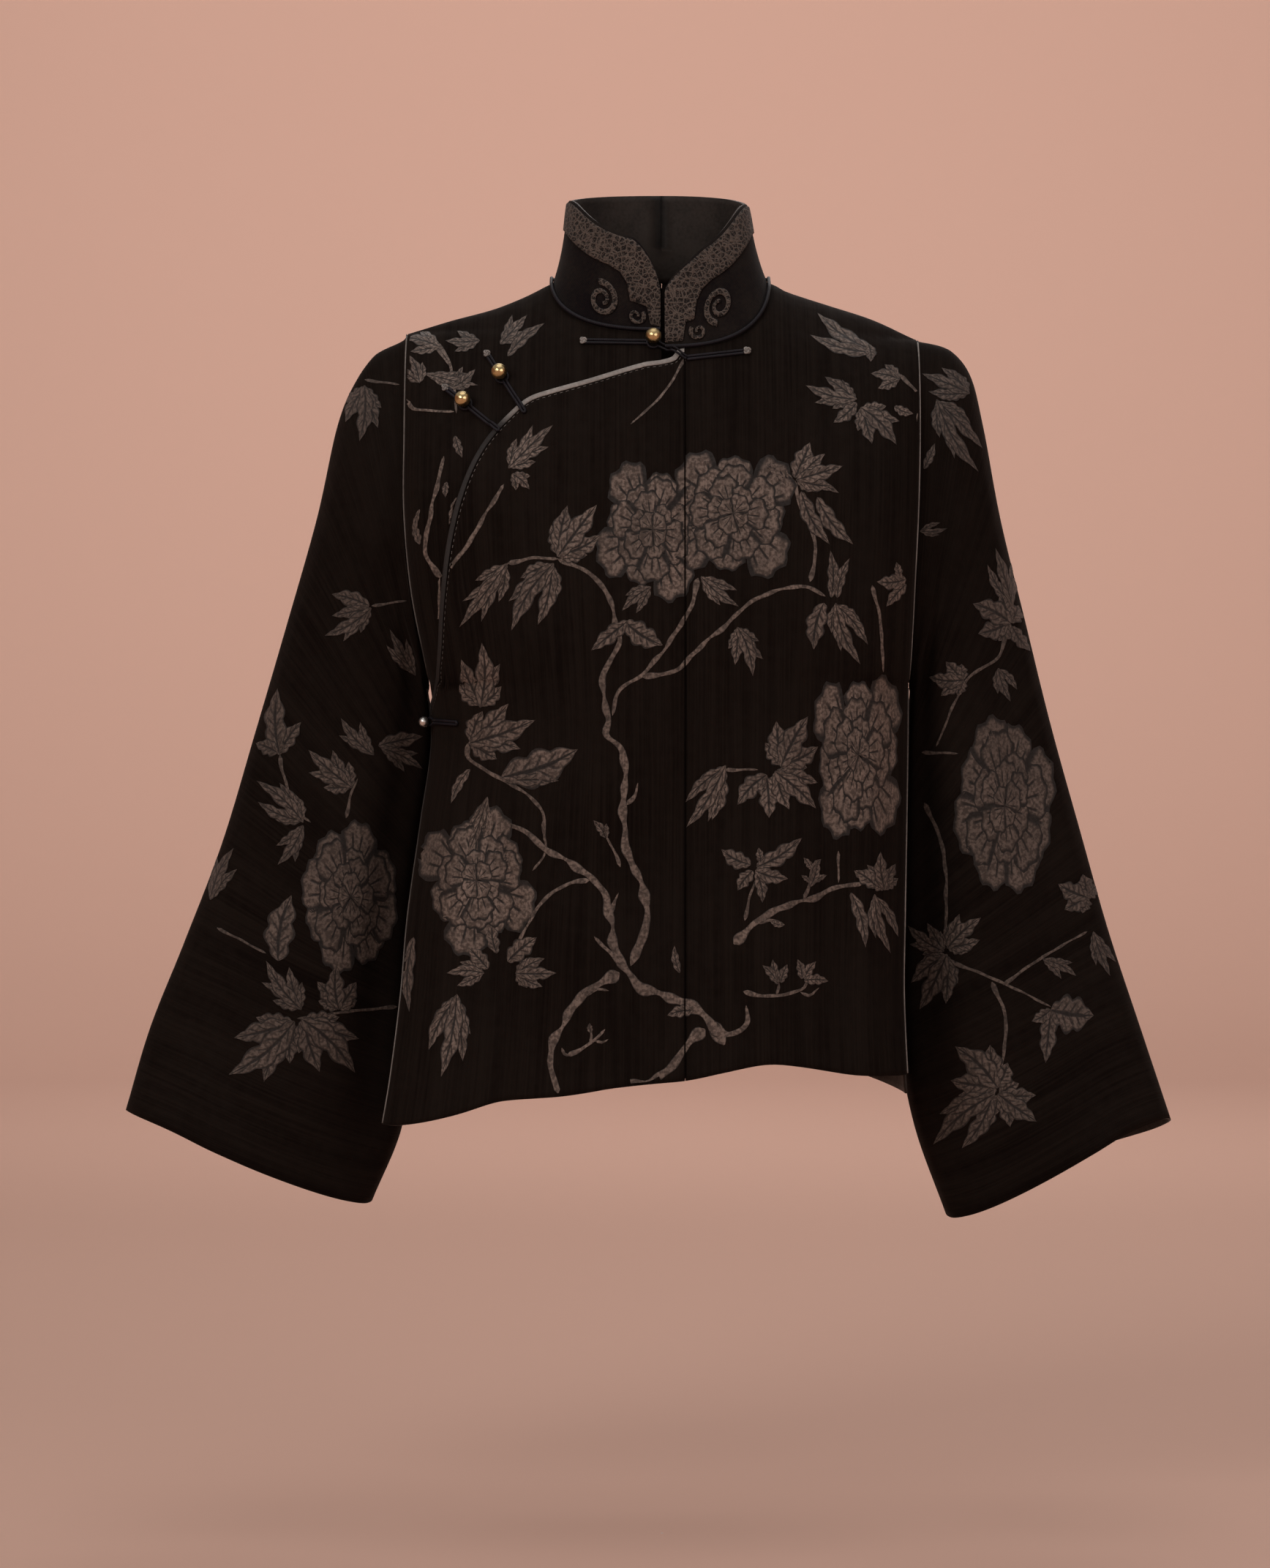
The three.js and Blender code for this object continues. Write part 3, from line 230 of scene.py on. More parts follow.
# Turn round the sleeve and share of its length where each fold starts and ends, width and rise.
SLEEVE_FOLDS = [
    (60, 0.3, 52, 1.0, 17, -5), (100, 0.5, 92, 1.05, 20, 4.5), (128, 0.16, 136, 0.8, 14, -6),
    (112, 0.02, 96, 0.3, 11, -4), (146, 0.02, 128, 0.2, 9, 4), (212, 0.05, 226, 0.55, 14, -6),
    (244, 0.2, 250, 0.9, 17, 6), (282, 0.3, 276, 1.0, 16, -6), (318, 0.45, 312, 1.05, 18, 4),
    (36, 0.25, 30, 0.9, 8, 1.4), (78, 0.25, 74, 0.95, 8, 1.5), (152, 0.3, 158, 0.9, 8, 1.6),
    (96, 0.12, 120, 0.34, 7, -1.6), (70, 0.08, 84, 0.3, 7, 1.3), (262, 0.1, 266, 0.8, 8, -1.6),
    (230, 0.1, 236, 0.7, 8, 1.6), (300, 0.2, 296, 0.9, 8, 1.4), (340, 0.3, 338, 0.9, 8, -1.2),
]
CUFF_DIP = {-1: (2.5, -3), 1: (-3, -7)}

# The curls that end the collar's border: side, middle from the centre front, share of the collar's height,
# outer radius, width of the strip, turns and starting angle.
COLLAR_CURLS = {
    "right_small": (-1, 20, 0.16, 6.4, 3.4, 1.15, 40),
    "right_large": (-1, 47, 0.27, 12, 4.8, 1.5, 110),
    "left_small": (1, 27.5, 0.165, 6.4, 3.4, 1.15, 140),
    "left_large": (1, 46.5, 0.355, 12, 4.8, -1.5, 250),
}

# Fastenings: the button's place on the front, the angle and reach of its knot strap, then the angle, start
# and reach of its loop strap and how far that lies below the button.
FASTENINGS = {
    "neck": (-7, -54, 179, 52, 7, 25, 70, 15.5),
    "chest_upper": (-119, -80, 122, 22, -58, 1.4, 34, 0),
    "chest_lower": (-146, -100, 140, 20, -40, 1.4, 34, 0),
    "side": (-190, -334, 180, 0, -5, 1.4, 22, 0),
}


# ---------------------------------------------------------------- small tools
def lerp(a, b, t):
    return a + (b - a) * t


def smooth(v):
    v = np.clip(v, 0, 1)
    return v * v * (3 - 2 * v)


def steps(count):
    return np.linspace(0, 1, count + 1)


def paired(*values):
    """One array from several, with a place for each value at its end."""
    return np.stack(np.broadcast_arrays(*values), -1)


def running_length(line):
    return np.concatenate([[0], np.cumsum(np.linalg.norm(np.diff(line, axis=0), axis=1))])


def along(points, share):
    """Points of a smooth line through the given ones, at shares of its length."""
    points = np.array(points, float)
    reach = running_length(points)
    table = Table("at " + " ".join(f"c{k}" for k in range(points.shape[1])), np.column_stack([reach, points]))
    return np.stack([table.read(f"c{k}", np.asarray(share) * reach[-1]) for k in range(points.shape[1])], -1)


def unit(v):
    return v / np.maximum(np.linalg.norm(v, axis=-1, keepdims=True), 1e-12)


def grid_quads(first, n, m):
    """The corner numbers of a grid of n by m points, the first of which has the given number."""
    index = first + np.arange(n * m).reshape(n, m)
    return np.stack([index[:-1, :-1], index[:-1, 1:], index[1:, 1:], index[1:, :-1]], -1).reshape(-1, 4)


def fold_at(folds, a, b):
    """How far the folds raise a place, where a and b are their own two directions."""
    total = 0
    for a1, b1, a2, b2, width, depth in folds:
        run = (b - b1) / (b2 - b1)
        fade = smooth((run + 0.2) / 0.5) * smooth((1.3 - run) / 0.25)
        total = total + depth * fade * np.exp(-(((a - lerp(a1, a2, run)) / width) ** 2))
    return total


# ---------------------------------------------------------------- the worn body as one surface
def shoulder_height(x):
    reach = np.minimum(np.abs(x), 210)
    return np.where(x < 0, SHOULDER_FOLD.read("right", reach), SHOULDER_FOLD.read("left", reach))


def half_width(x, z):
    return np.where(x < 0, BODY_SECTIONS.read("right", z), BODY_SECTIONS.read("left", z))


def neck_half(x):
    return np.where(np.asarray(x) < 0, NECK_HALF[-1], NECK_HALF[1])


def neck_share(x):
    return np.sqrt(np.maximum(0, 1 - (x / neck_half(x)) ** 2))


def neckline_height(x, front):
    full = np.maximum(0, 1 - np.abs(x / neck_half(x)) ** NECK_POWER) ** (1 / NECK_POWER)
    drop = np.where(x > 0, NECK_DROP[1], NECK_DROP[-1])
    return -drop * full if front else NECK_RISE_BACK * neck_share(x)


def side_depth(x, z, front):
    """Where front and back end at the side: the sleeve seam above the underarm, the side line below it."""
    top = np.where(x < 0, shoulder_height(np.float64(-BODY_HALF)), shoulder_height(np.float64(BODY_HALF)))
    middle = (top + UNDERARM) / 2
    open_share = np.sqrt(np.maximum(0, 1 - ((z - middle) / (top - middle)) ** 2))
    vent = smooth((VENT_TOP - z) / (VENT_TOP - VENT_FULL)) * (-VENT_OPEN if front else VENT_OPEN)
    return BODY_SECTIONS.read("side", z) + (-ARMHOLE_FRONT if front else ARMHOLE_BACK) * open_share + vent


def body_surface(share, z, front):
    """A point by its share of the half-width, from -1 at the wearer's right to 1 at the left, and its height."""
    share, z = np.broadcast_arrays(np.asarray(share, float), np.asarray(z, float))
    w = np.minimum(1, np.abs(share))
    x = share * half_width(share, z)
    ridge = shoulder_height(share * BODY_HALF)
    if not front:
        round_neck = neck_share(share * BODY_HALF)
        ridge = np.where(
            round_neck > 0, NECK_RISE_BACK * round_neck + RIDGE_RISE * round_neck**RIDGE_POWER, ridge
        )
    rise = np.clip((ridge - z) / SHOULDER_ROUND, 0, 1)
    dome = (1 - (1 - rise) ** SHOULDER_POWER) ** (1 / SHOULDER_POWER)
    depth = BODY_SECTIONS.read("front" if front else "back", z) * dome * (-1 if front else 1)
    power = BODY_SECTIONS.read("power", z)
    bulge = np.maximum(0, 1 - w**power) ** (1 / power)
    edge = side_depth(share, z, front)
    fold = fold_at(FRONT_FOLDS if front else BACK_FOLDS, x, z) * bulge**0.5
    return np.stack([x, edge + (depth - edge) * bulge + (-fold if front else fold), z], -1)


def body_normal(share, z, front):
    inner = np.where(np.abs(share) > 0.5, share - np.sign(share) * 0.004, share)
    here = body_surface(inner, z, front)
    across = body_surface(inner + np.where(share < 0, -0.004, 0.004), z, front) - here
    normal = unit(np.cross(across, body_surface(inner, z - 2, front) - here))
    return np.where((normal[..., 1:2] > 0) == front, -normal, normal)


def body_point(share, z, front, lift=0.0):
    return body_surface(share, z, front) + body_normal(share, z, front) * np.asarray(lift, float)[..., None]


def column_share(x, z):
    """Columns hang straight near the centre seams and follow the side further out."""
    return x / lerp(half_width(x, z), BODY_HALF, smooth((np.abs(x) - 20) / 60))


def hem_height(x, front):
    level = np.float64(HEM_LEVEL)
    at = column_share(x, level) * half_width(x, level)
    return HEM.read("front" if front else "back", at)


def overlap_edge(x):
    return OVERLAP_EDGE.read("z", x)


def overlap_lift(x):
    return LAYER * smooth((CENTRE_SEAM - 1 - x) / 13)


def overlap_point(x, z, lift=0.0):
    return body_point(column_share(x, z), z, True, overlap_lift(x) + lift)


def inside_edge(x, z):
    """How far a place on the front lies inside the overlap's free edge."""
    slope = (overlap_edge(x - 1) - overlap_edge(x + 1)) / 2
    return (overlap_edge(x) - z) / np.hypot(1, slope)


def front_point(x, z, lift=0.0):
    """A place on the outermost cloth of the front."""
    over = smooth((inside_edge(x, z) + 7) / 4.5) * smooth((CENTRE_SEAM + 2 - x) / 10)
    over = np.where(x > CENTRE_SEAM, 0, (LAYER + BINDING_RISE) * over)
    return body_point(column_share(x, z), z, True, over + lift)


def figure_point(x, z, lift=0.0):
    """A place on the front that keeps to the velvet beside the bound edge."""
    over = smooth((inside_edge(x, z) - 1) / 2.5) * smooth((CENTRE_SEAM - 1 - x) / 13)
    over = np.where(x > CENTRE_SEAM, 0, LAYER * over)
    return body_point(column_share(x, z), z, True, over + lift)


def back_point(x, z, lift=0.0):
    return body_point(column_share(x, z), z, False, lift)


# ---------------------------------------------------------------- cloth shells
class Sheet:
    """Welded grids of points with their place on the cloth, in metres, for the weave."""

    def __init__(self):
        self.points, self.cloth, self.holds, self.quads = [], [], [], []
        self.count = 0

    def add_grid(self, points, cloth, hold=None, turned=False):
        """hold marks the coordinates in which the wall's inner face stays level with a point, as at a seam."""
        n, m = points.shape[:2]
        quads = grid_quads(self.count, n, m)
        self.quads.append(quads[:, ::-1] if turned else quads)
        self.points.append(points.reshape(-1, 3))
        self.cloth.append(cloth.reshape(-1, 2))
        self.holds.append((np.zeros((n, m, 3), bool) if hold is None else hold).reshape(-1, 3))
        self.count += n * m
        return self

    def welded(self, inside):
        """Points that meet become one, and the faces look away from a point inside the hollow."""
        points, hold = np.concatenate(self.points), np.concatenate(self.holds)
        quads, cloth = np.concatenate(self.quads), np.concatenate(self.cloth)
        place = np.round(points * 1e3).astype(np.int64)
        _, first, back = np.unique(place, axis=0, return_index=True, return_inverse=True)
        back = back.ravel()
        points, hold, corners = points[first], hold[first], cloth[quads]
        quads = back[quads]
        a, b, c, d = (points[quads[:, k]] - inside for k in range(4))
        if (np.einsum("ij,ij->i", a, np.cross(b, c)) + np.einsum("ij,ij->i", a, np.cross(c, d))).sum() < 0:
            quads, corners = quads[:, ::-1], corners[:, ::-1]
        return points, hold, quads, corners

    def normals(self, points, quads):
        normals = np.zeros_like(points)
        face = np.cross(points[quads[:, 2]] - points[quads[:, 0]], points[quads[:, 3]] - points[quads[:, 1]])
        for k in range(4):
            np.add.at(normals, quads[:, k], face)
        return unit(normals)

    def shell(self, name, thickness, inside, materials, rim=1):
        """The cloth with its thickness. The outer face has the first material, the inner one the last."""
        points, hold, quads, corners = self.welded(np.array(inside, float))
        inner = points - self.normals(points, quads) * thickness
        inner = np.where(hold, points, inner)
        count = len(points)
        edges = np.concatenate([quads[:, [k, (k + 1) % 4]] for k in range(4)])
        key = edges[:, 0] * (count + 1) + edges[:, 1]
        free = ~np.isin(key, edges[:, 1] * (count + 1) + edges[:, 0]) & (edges[:, 0] != edges[:, 1])
        a, b = edges[free].T
        at = np.concatenate([corners[:, [k, (k + 1) % 4]] for k in range(4)])[free]
        faces = np.concatenate([quads, quads[:, ::-1] + count, np.stack([b, a, a + count, b + count], -1)])
        cloth = np.concatenate([corners, corners[:, ::-1], at[:, [1, 0, 0, 1]]])
        finish = np.repeat(
            [0, len(materials) - 1, min(rim, len(materials) - 1)], [len(quads), len(quads), len(a)]
        )
        return make_mesh(name, np.concatenate([points, inner]), faces, {"Cloth": cloth}, materials, finish)


def make_mesh(name, points, faces, maps, materials, finish=None):
    """A smooth-shaded object from points in millimetres, quads, and one map of corners for each name."""
    whole = [[v for k, v in enumerate(face) if v != face[k - 1]] for face in faces.tolist()]
    keep = [k for k, face in enumerate(whole) if len(set(face)) > 2]
    mesh = bpy.data.meshes.new(name)
    mesh.from_pydata((points * MM).tolist(), [], [whole[k] for k in keep])
    for label, corners in maps.items():
        layer = mesh.uv_layers.new(name=label)
        rows = [
            corners[k][i] for k in keep for i, v in enumerate(faces[k]) if v != faces[k][i - 1]
        ]
        layer.data.foreach_set("uv", np.array(rows, np.float32).ravel())
    for material in materials:
        mesh.materials.append(material)
    if finish is not None:
        mesh.polygons.foreach_set("material_index", np.asarray(finish)[keep].astype(np.int32))
    mesh.polygons.foreach_set("use_smooth", np.ones(len(mesh.polygons), bool))
    mesh.update()
    piece = bpy.data.objects.new(name, mesh)
    bpy.context.scene.collection.objects.link(piece)
    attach(piece, "root")
    return piece


def join(name, pieces):
    """One object from several."""
    with bpy.context.temp_override(active_object=pieces[0], selected_editable_objects=pieces):
        bpy.ops.object.join()
    pieces[0].name = pieces[0].data.name = name
    return pieces[0]


def tube(name, line, radius, material, sides=10):
    """A round cord along points in millimetres, closed at both ends."""
    line = np.array(line, float)
    tangent = unit(np.gradient(line, axis=0))
    normal = unit(np.cross(tangent[0], [0.31, 0.9, 0.3]))
    turn = np.linspace(0, 2 * math.pi, sides + 1)[:, None]
    rings, run = [], running_length(line)
    for centre, t in zip(line, tangent):
        normal = unit(normal - t * (normal @ t))
        rings.append(centre + (np.cos(turn) * normal + np.sin(turn) * np.cross(t, normal)) * radius)
    start, end = np.repeat(line[:1], sides + 1, 0), np.repeat(line[-1:], sides + 1, 0)
    rings, run = np.array([start, *rings, end]), np.concatenate([[run[0]], run, [run[-1]]])
    sheet = Sheet().add_grid(rings, paired(run[:, None] * MM, steps(sides)[None] * 2 * math.pi * radius * MM))
    points, _, quads, corners = sheet.welded(line.mean(0))
    outward = np.einsum("ij,ij->i", sheet.normals(points, quads), points - nearest(points, line))
    if outward.sum() < 0:
        quads, corners = quads[:, ::-1], corners[:, ::-1]
    return make_mesh(name, points, quads, {"Cloth": corners}, [material])


def nearest(points, line):
    """The point of a line nearest to each point."""
    return line[np.argmin(((points[:, None] - line[None]) ** 2).sum(-1), axis=1)]


# ---------------------------------------------------------------- sleeves
def sleeve_surface(side, turn, share):
    """A point by its turn round the sleeve, from the outer side forward, and its share of the length."""
    turn, share = np.broadcast_arrays(np.asarray(turn, float), np.asarray(share, float))
    table = SLEEVES[side]
    out_x, out_z, in_x, in_z, mid, front, back = (
        table.read(column, share * (len(table.key) - 1)) for column in SLEEVE_COLUMNS.split()[1:]
    )
    c, s = np.cos(turn), np.sin(turn)
    z = (out_z + in_z) / 2 + (out_z - in_z) / 2 * c
    seam_x = side * (half_width(np.float64(side), z) + SLEEVE_GAP)
    straight = (out_x + in_x) / 2 + (out_x - in_x) / 2 * c + side * SLEEVE_GAP
    free = lerp(seam_x, straight, smooth(share / 0.12))
    x = np.where(z > UNDERARM - 1, side * np.maximum(np.abs(free), np.abs(seam_x) + SLEEVE_CLEAR * share), free)
    y = mid - np.where(s > 0, front, back) * s
    single, double = CUFF_DIP[side]
    down = smooth((share - 0.75) / 0.25) * (single * np.abs(s) + double * np.sin(2 * turn))
    out = unit(np.stack([(out_x - in_x) * c, -SLEEVE_ROUND * s, (out_z - in_z) * c], -1))
    fold = fold_at(SLEEVE_FOLDS, np.degrees(turn), share) * smooth((share - 0.04) / 0.2)
    return np.stack([x, y, z - down], -1) + out * fold[..., None]


def sleeve_point(side, turn, share, lift=0.0):
    here = sleeve_surface(side, turn, share)
    inner = np.where(share > 0.5, -0.004, 0.004)
    down = (sleeve_surface(side, turn, share + inner) - here) * np.sign(inner)[..., None]
    normal = side * unit(np.cross(sleeve_surface(side, turn + 0.01, share) - here, down))
    return here + normal * np.asarray(lift, float)[..., None]


# ---------------------------------------------------------------- collar
def start_turn(side, x):
    return np.arcsin(np.minimum(1, np.abs(x) / NECK_HALF[side]) ** (NECK_RING / 2))


def neck_x(side, turn):
    return side * NECK_HALF[side] * np.sin(turn) ** (2 / NECK_RING)


def collar_point(side, front, turn, up, lift=0.0):
    """A point by its turn round the neck, share of the collar's height, and how far it stands off the collar."""
    turn, up, lift = np.broadcast_arrays(np.asarray(turn, float), np.asarray(up, float), np.asarray(lift, float))
    x = neck_x(side, turn)
    share = neck_share(x)
    base = body_surface(column_share(x, -40.0), neckline_height(x, front), front)
    base[..., 1] = np.where(np.isclose(turn, math.pi / 2), 0, base[..., 1])
    flat_x = base[..., 0] / NECK_HALF[side]
    flat_y = base[..., 1] / (COLLAR_FOOT_FRONT if front else COLLAR_FOOT_BACK)
    plan, around = np.hypot(flat_x, flat_y), np.arctan2(flat_x, -flat_y)
    side_z = COLLAR_SIDE_Z[side]
    top_z = side_z - COLLAR_DIP[side] * share**COLLAR_DIP_POWER if front else lerp(side_z, COLLAR_BACK_Z, share)
    reach = lerp(1, plan, COLLAR_EASE)
    top = np.stack([
        COLLAR_TOP_X[side] * np.sin(around) * reach,
        -(COLLAR_TOP_FRONT if front else COLLAR_TOP_BACK) * np.cos(around) * reach,
        top_z,
    ], -1)
    base = base + unit(top - base) * COLLAR_LIFT
    end = np.clip((np.abs(x) - COLLAR_OPENING) / COLLAR_ROUND[side], 0, 1)
    corner = (1 - (1 - end) ** COLLAR_ROUND_POWER) ** (1 / COLLAR_ROUND_POWER) if front else 1.0
    height = up * lerp((COLLAR_FRONT_Z - base[..., 2]) / (top[..., 2] - base[..., 2]), 1, corner)
    outward = unit(np.stack([np.sin(around), -np.cos(around), np.full_like(around, 0.15)], -1))
    push = lift - COLLAR_HOLLOW * np.sin(math.pi * np.maximum(height, 0) ** 0.8)
    return base + (top - base) * height[..., None] + outward * push[..., None]


def collar_columns(fine=3):
    """Side, front and turns of the collar's parts, from the wearer's right end round the back to the left end."""
    right = lerp(start_turn(-1, COLLAR_OPENING), math.pi / 2, steps(14 * fine) ** 1.7)
    left = lerp(math.pi / 2, start_turn(1, COLLAR_OPENING), 1 - (1 - steps(14 * fine)) ** 1.7)
    back_right = lerp(math.pi / 2, start_turn(-1, GAP / 2), steps(8 * fine))[1:]
    back_left = lerp(start_turn(1, GAP / 2), math.pi / 2, steps(8 * fine))[:-1]
    return [(-1, True, right), (-1, False, back_right), (1, False, back_left), (1, True, left)]


def collar_rows(up_of, lift, fine=3):
    """Grid of points round the collar. up_of gives the shares of the height for each column."""
    rows = []
    for side, front, turns in collar_columns(fine):
        up = up_of(side, np.abs(neck_x(side, turns)), front)
        rows.append(collar_point(side, front, turns[:, None], up, lift))
    return np.concatenate(rows)


def run_map(points):
    """The place of each point of a grid on the flat cloth, in metres."""
    return paired(running_length(points.mean(1))[:, None] * MM, running_length(points.mean(0))[None] * MM)


# ---------------------------------------------------------------- the woven figure
# Leaves by base and tip, width, and 1 for one blade or 3 for several. Flowers by middle, half width, half height
# and turn in degrees. Stems by their width at both ends and the points they pass. All are placed on the front as
# it is looked at, in the units of the drawing.
BODY_LEAVES = [
    (762, 761, 816, 690, 51, 3), (757, 770, 699, 862, 43, 3), (694, 770, 628, 857, 32, 3),
    (858, 849, 808, 889, 22, 1), (855, 850, 906, 882, 32, 1), (890, 802, 850, 835, 24, 3),
    (958, 788, 1010, 829, 26, 3), (1083, 661, 1044, 634, 19, 1), (1086, 653, 1107, 605, 27, 1),
    (1088, 656, 1152, 637, 37, 3), (1096, 653, 1147, 674, 13, 1), (1095, 672, 1134, 744, 22, 1),
    (1117, 680, 1166, 744, 22, 1), (1136, 817, 1135, 752, 16, 1), (1144, 817, 1161, 763, 14, 1),
    (1126, 824, 1112, 888, 27, 1), (1142, 824, 1176, 908, 32, 3), (1238, 792, 1198, 795, 21, 1),
    (1238, 798, 1211, 829, 16, 1), (1230, 790, 1225, 768, 11, 1), (1008, 857, 1029, 924, 33, 3),
    (695, 640, 756, 581, 31, 3), (700, 648, 724, 669, 24, 3), (657, 967, 659, 878, 45, 3),
    (694, 487, 745, 442, 15, 1), (684, 471, 721, 431, 25, 3), (656, 466, 609, 466, 24, 3),
    (582, 511, 654, 527, 21, 3), (1198, 482, 1107, 458, 18, 1), (1192, 479, 1117, 428, 21, 1),
    (1187, 471, 1190, 495, 15, 1), (1171, 546, 1101, 527, 32, 3), (1171, 551, 1139, 578, 19, 1),
    (1176, 557, 1225, 608, 41, 3), (1230, 519, 1190, 511, 29, 3), (625, 680, 614, 717, 11, 1),
    (611, 659, 609, 680, 9, 1), (574, 696, 568, 734, 7, 1), (641, 1016, 732, 984, 54, 3),
    (686, 1062, 790, 1024, 49, 1), (694, 1067, 764, 1067, 18, 1), (643, 1051, 617, 1098, 13, 1),
    (667, 1089, 638, 1172, 22, 3), (705, 1330, 761, 1330, 33, 3), (694, 1314, 734, 1281, 27, 1),
    (667, 1324, 641, 1295, 22, 1), (662, 1330, 611, 1330, 28, 3), (679, 1303, 673, 1260, 18, 1),
    (625, 1359, 603, 1472, 41, 3), (566, 1281, 560, 1383, 18, 1), (992, 1046, 938, 1131, 34, 3),
    (986, 1054, 973, 1121, 21, 1), (1067, 1048, 1104, 979, 56, 3), (1059, 1054, 1115, 1105, 45, 3),
    (1048, 1059, 1008, 1100, 27, 1), (1048, 1062, 1051, 1118, 27, 1), (1034, 1185, 1096, 1145, 24, 1),
    (1032, 1190, 1077, 1201, 21, 1), (1034, 1193, 1042, 1234, 16, 1), (1029, 1190, 1008, 1217, 19, 1),
    (1026, 1182, 986, 1161, 24, 1), (1040, 1180, 1037, 1158, 11, 1), (1107, 1212, 1117, 1174, 12, 1),
    (1107, 1206, 1095, 1196, 7, 1), (1112, 1206, 1130, 1196, 9, 1), (1209, 1217, 1203, 1164, 33, 3),
    (1198, 1212, 1167, 1190, 22, 1), (1163, 1220, 1183, 1295, 18, 1), (1195, 1222, 1217, 1303, 26, 3),
    (1064, 1345, 1042, 1319, 13, 1), (1064, 1343, 1056, 1311, 13, 1), (1067, 1343, 1076, 1318, 13, 1),
    (1096, 1338, 1090, 1311, 13, 1), (1099, 1338, 1115, 1314, 13, 1), (1099, 1340, 1132, 1341, 15, 1),
    (929, 1330, 922, 1292, 11, 1), (828, 1145, 811, 1121, 12, 1), (829, 1145, 829, 1125, 9, 1),
    (602, 475, 552, 462, 26, 3), (574, 524, 560, 486, 24, 3), (619, 530, 650, 505, 22, 3),
    (1222, 556, 1248, 566, 13, 1), (574, 744, 565, 714, 11, 1), (622, 596, 632, 626, 12, 1),
    (1071, 1265, 1052, 1258, 9, 1), (808, 1412, 806, 1398, 8, 1), (1108, 1188, 1098, 1172, 9, 1),
    (1110, 1188, 1122, 1174, 9, 1), (948, 1381, 912, 1388, 17, 1),
]
BODY_FLOWERS = [
    (892, 724, 72, 92, 17), (1002, 702, 82, 92, 5), (1173, 1032, 62, 116, 40), (652, 1203, 76, 94, 20),
]
BODY_STEMS = [
    ((6, 12), (763, 764), (806, 784), (832, 815), (841, 851), (847, 876), (827, 917), (824, 948), (832, 983),
     (829, 1004), (852, 1029), (854, 1065), (852, 1101), (857, 1162), (880, 1218), (883, 1264), (862, 1320)),
    ((7, 5), (954, 790), (944, 830), (908, 887), (878, 922), (847, 943), (837, 978)),
    ((7, 5), (878, 925), (923, 917), (949, 892), (990, 856), (1031, 820), (1071, 805), (1102, 802), (1128, 815)),
    ((6, 4), (1107, 795), (1115, 754), (1107, 718), (1092, 688), (1087, 657)),
    ((8, 6), (602, 948), (602, 870), (602, 790)), ((7, 5), (602, 790), (582, 754), (589, 703), (607, 624)),
    ((7, 5), (602, 790), (633, 754), (658, 713), (689, 662)), ((6, 4), (694, 770), (730, 763), (763, 764)),
    ((6, 4), (640, 1016), (641, 1036), (668, 1055), (704, 1075), (740, 1106), (745, 1152)),
    ((7, 15), (676, 1121), (719, 1137), (745, 1160), (786, 1183), (811, 1203), (827, 1223), (834, 1254),
     (839, 1290), (852, 1320), (872, 1346), (908, 1361), (949, 1377), (974, 1402), (990, 1428)),
    ((6, 4), (806, 1203), (776, 1208), (745, 1229), (724, 1259), (707, 1292)),
    ((13, 8), (847, 1330), (801, 1356), (765, 1407), (752, 1448), (763, 1494)),
    ((13, 8), (964, 1407), (939, 1427), (923, 1453), (898, 1473), (847, 1484)),
    ((6, 4), (775, 1443), (806, 1427), (827, 1407)),
    ((11, 6), (1003, 1290), (1036, 1259), (1066, 1241), (1107, 1229), (1143, 1213), (1179, 1208)),
    ((5, 3), (990, 1052), (1036, 1052)), ((5, 3), (1230, 512), (1255, 542), (1253, 576)),
    ((5, 3), (556, 546), (567, 559), (621, 563)), ((5, 3), (595, 470), (614, 500)),
    ((6, 4), (1016, 1355), (1050, 1362), (1096, 1352), (1104, 1340)),
    ((4, 3), (742, 1122), (745, 1166), (728, 1190)),
    ((5, 3), (848, 1185), (838, 1160), (828, 1142)), ((5, 3), (1018, 1258), (1024, 1230), (1034, 1200)),
    ((4, 3), (1146, 1163), (1146, 1206)), ((4, 3), (938, 488), (905, 540), (862, 580)),
    ((14, 4), (970, 1400), (998, 1415), (1021, 1398), (1020, 1374)),
    ((5, 3), (597, 468), (612, 490), (621, 530), (624, 565)), ((8, 2), (832, 1250), (838, 1236), (846, 1220)),
    ((3, 9), (812, 1280), (826, 1294), (848, 1318)), ((5, 3), (1098, 1229), (1106, 1208), (1109, 1186)),
    ((5, 4), (1034, 1262), (1052, 1257), (1072, 1264)), ((8, 3), (796, 1360), (812, 1352), (832, 1354)),
    ((4, 3), (768, 1432), (772, 1440), (780, 1443)), ((4, 2), (806, 1427), (808, 1416), (807, 1406)),
    ((4, 2), (812, 1422), (824, 1424), (832, 1420)), ((4, 3), (1061, 1360), (1063, 1352), (1065, 1344)),
    ((4, 3), (1094, 1356), (1106, 1360), (1119, 1350)), ((5, 4), (1192, 800), (1203, 850), (1207, 918)),
    ((6, 3), (856, 1100), (868, 1086), (872, 1070)),
]
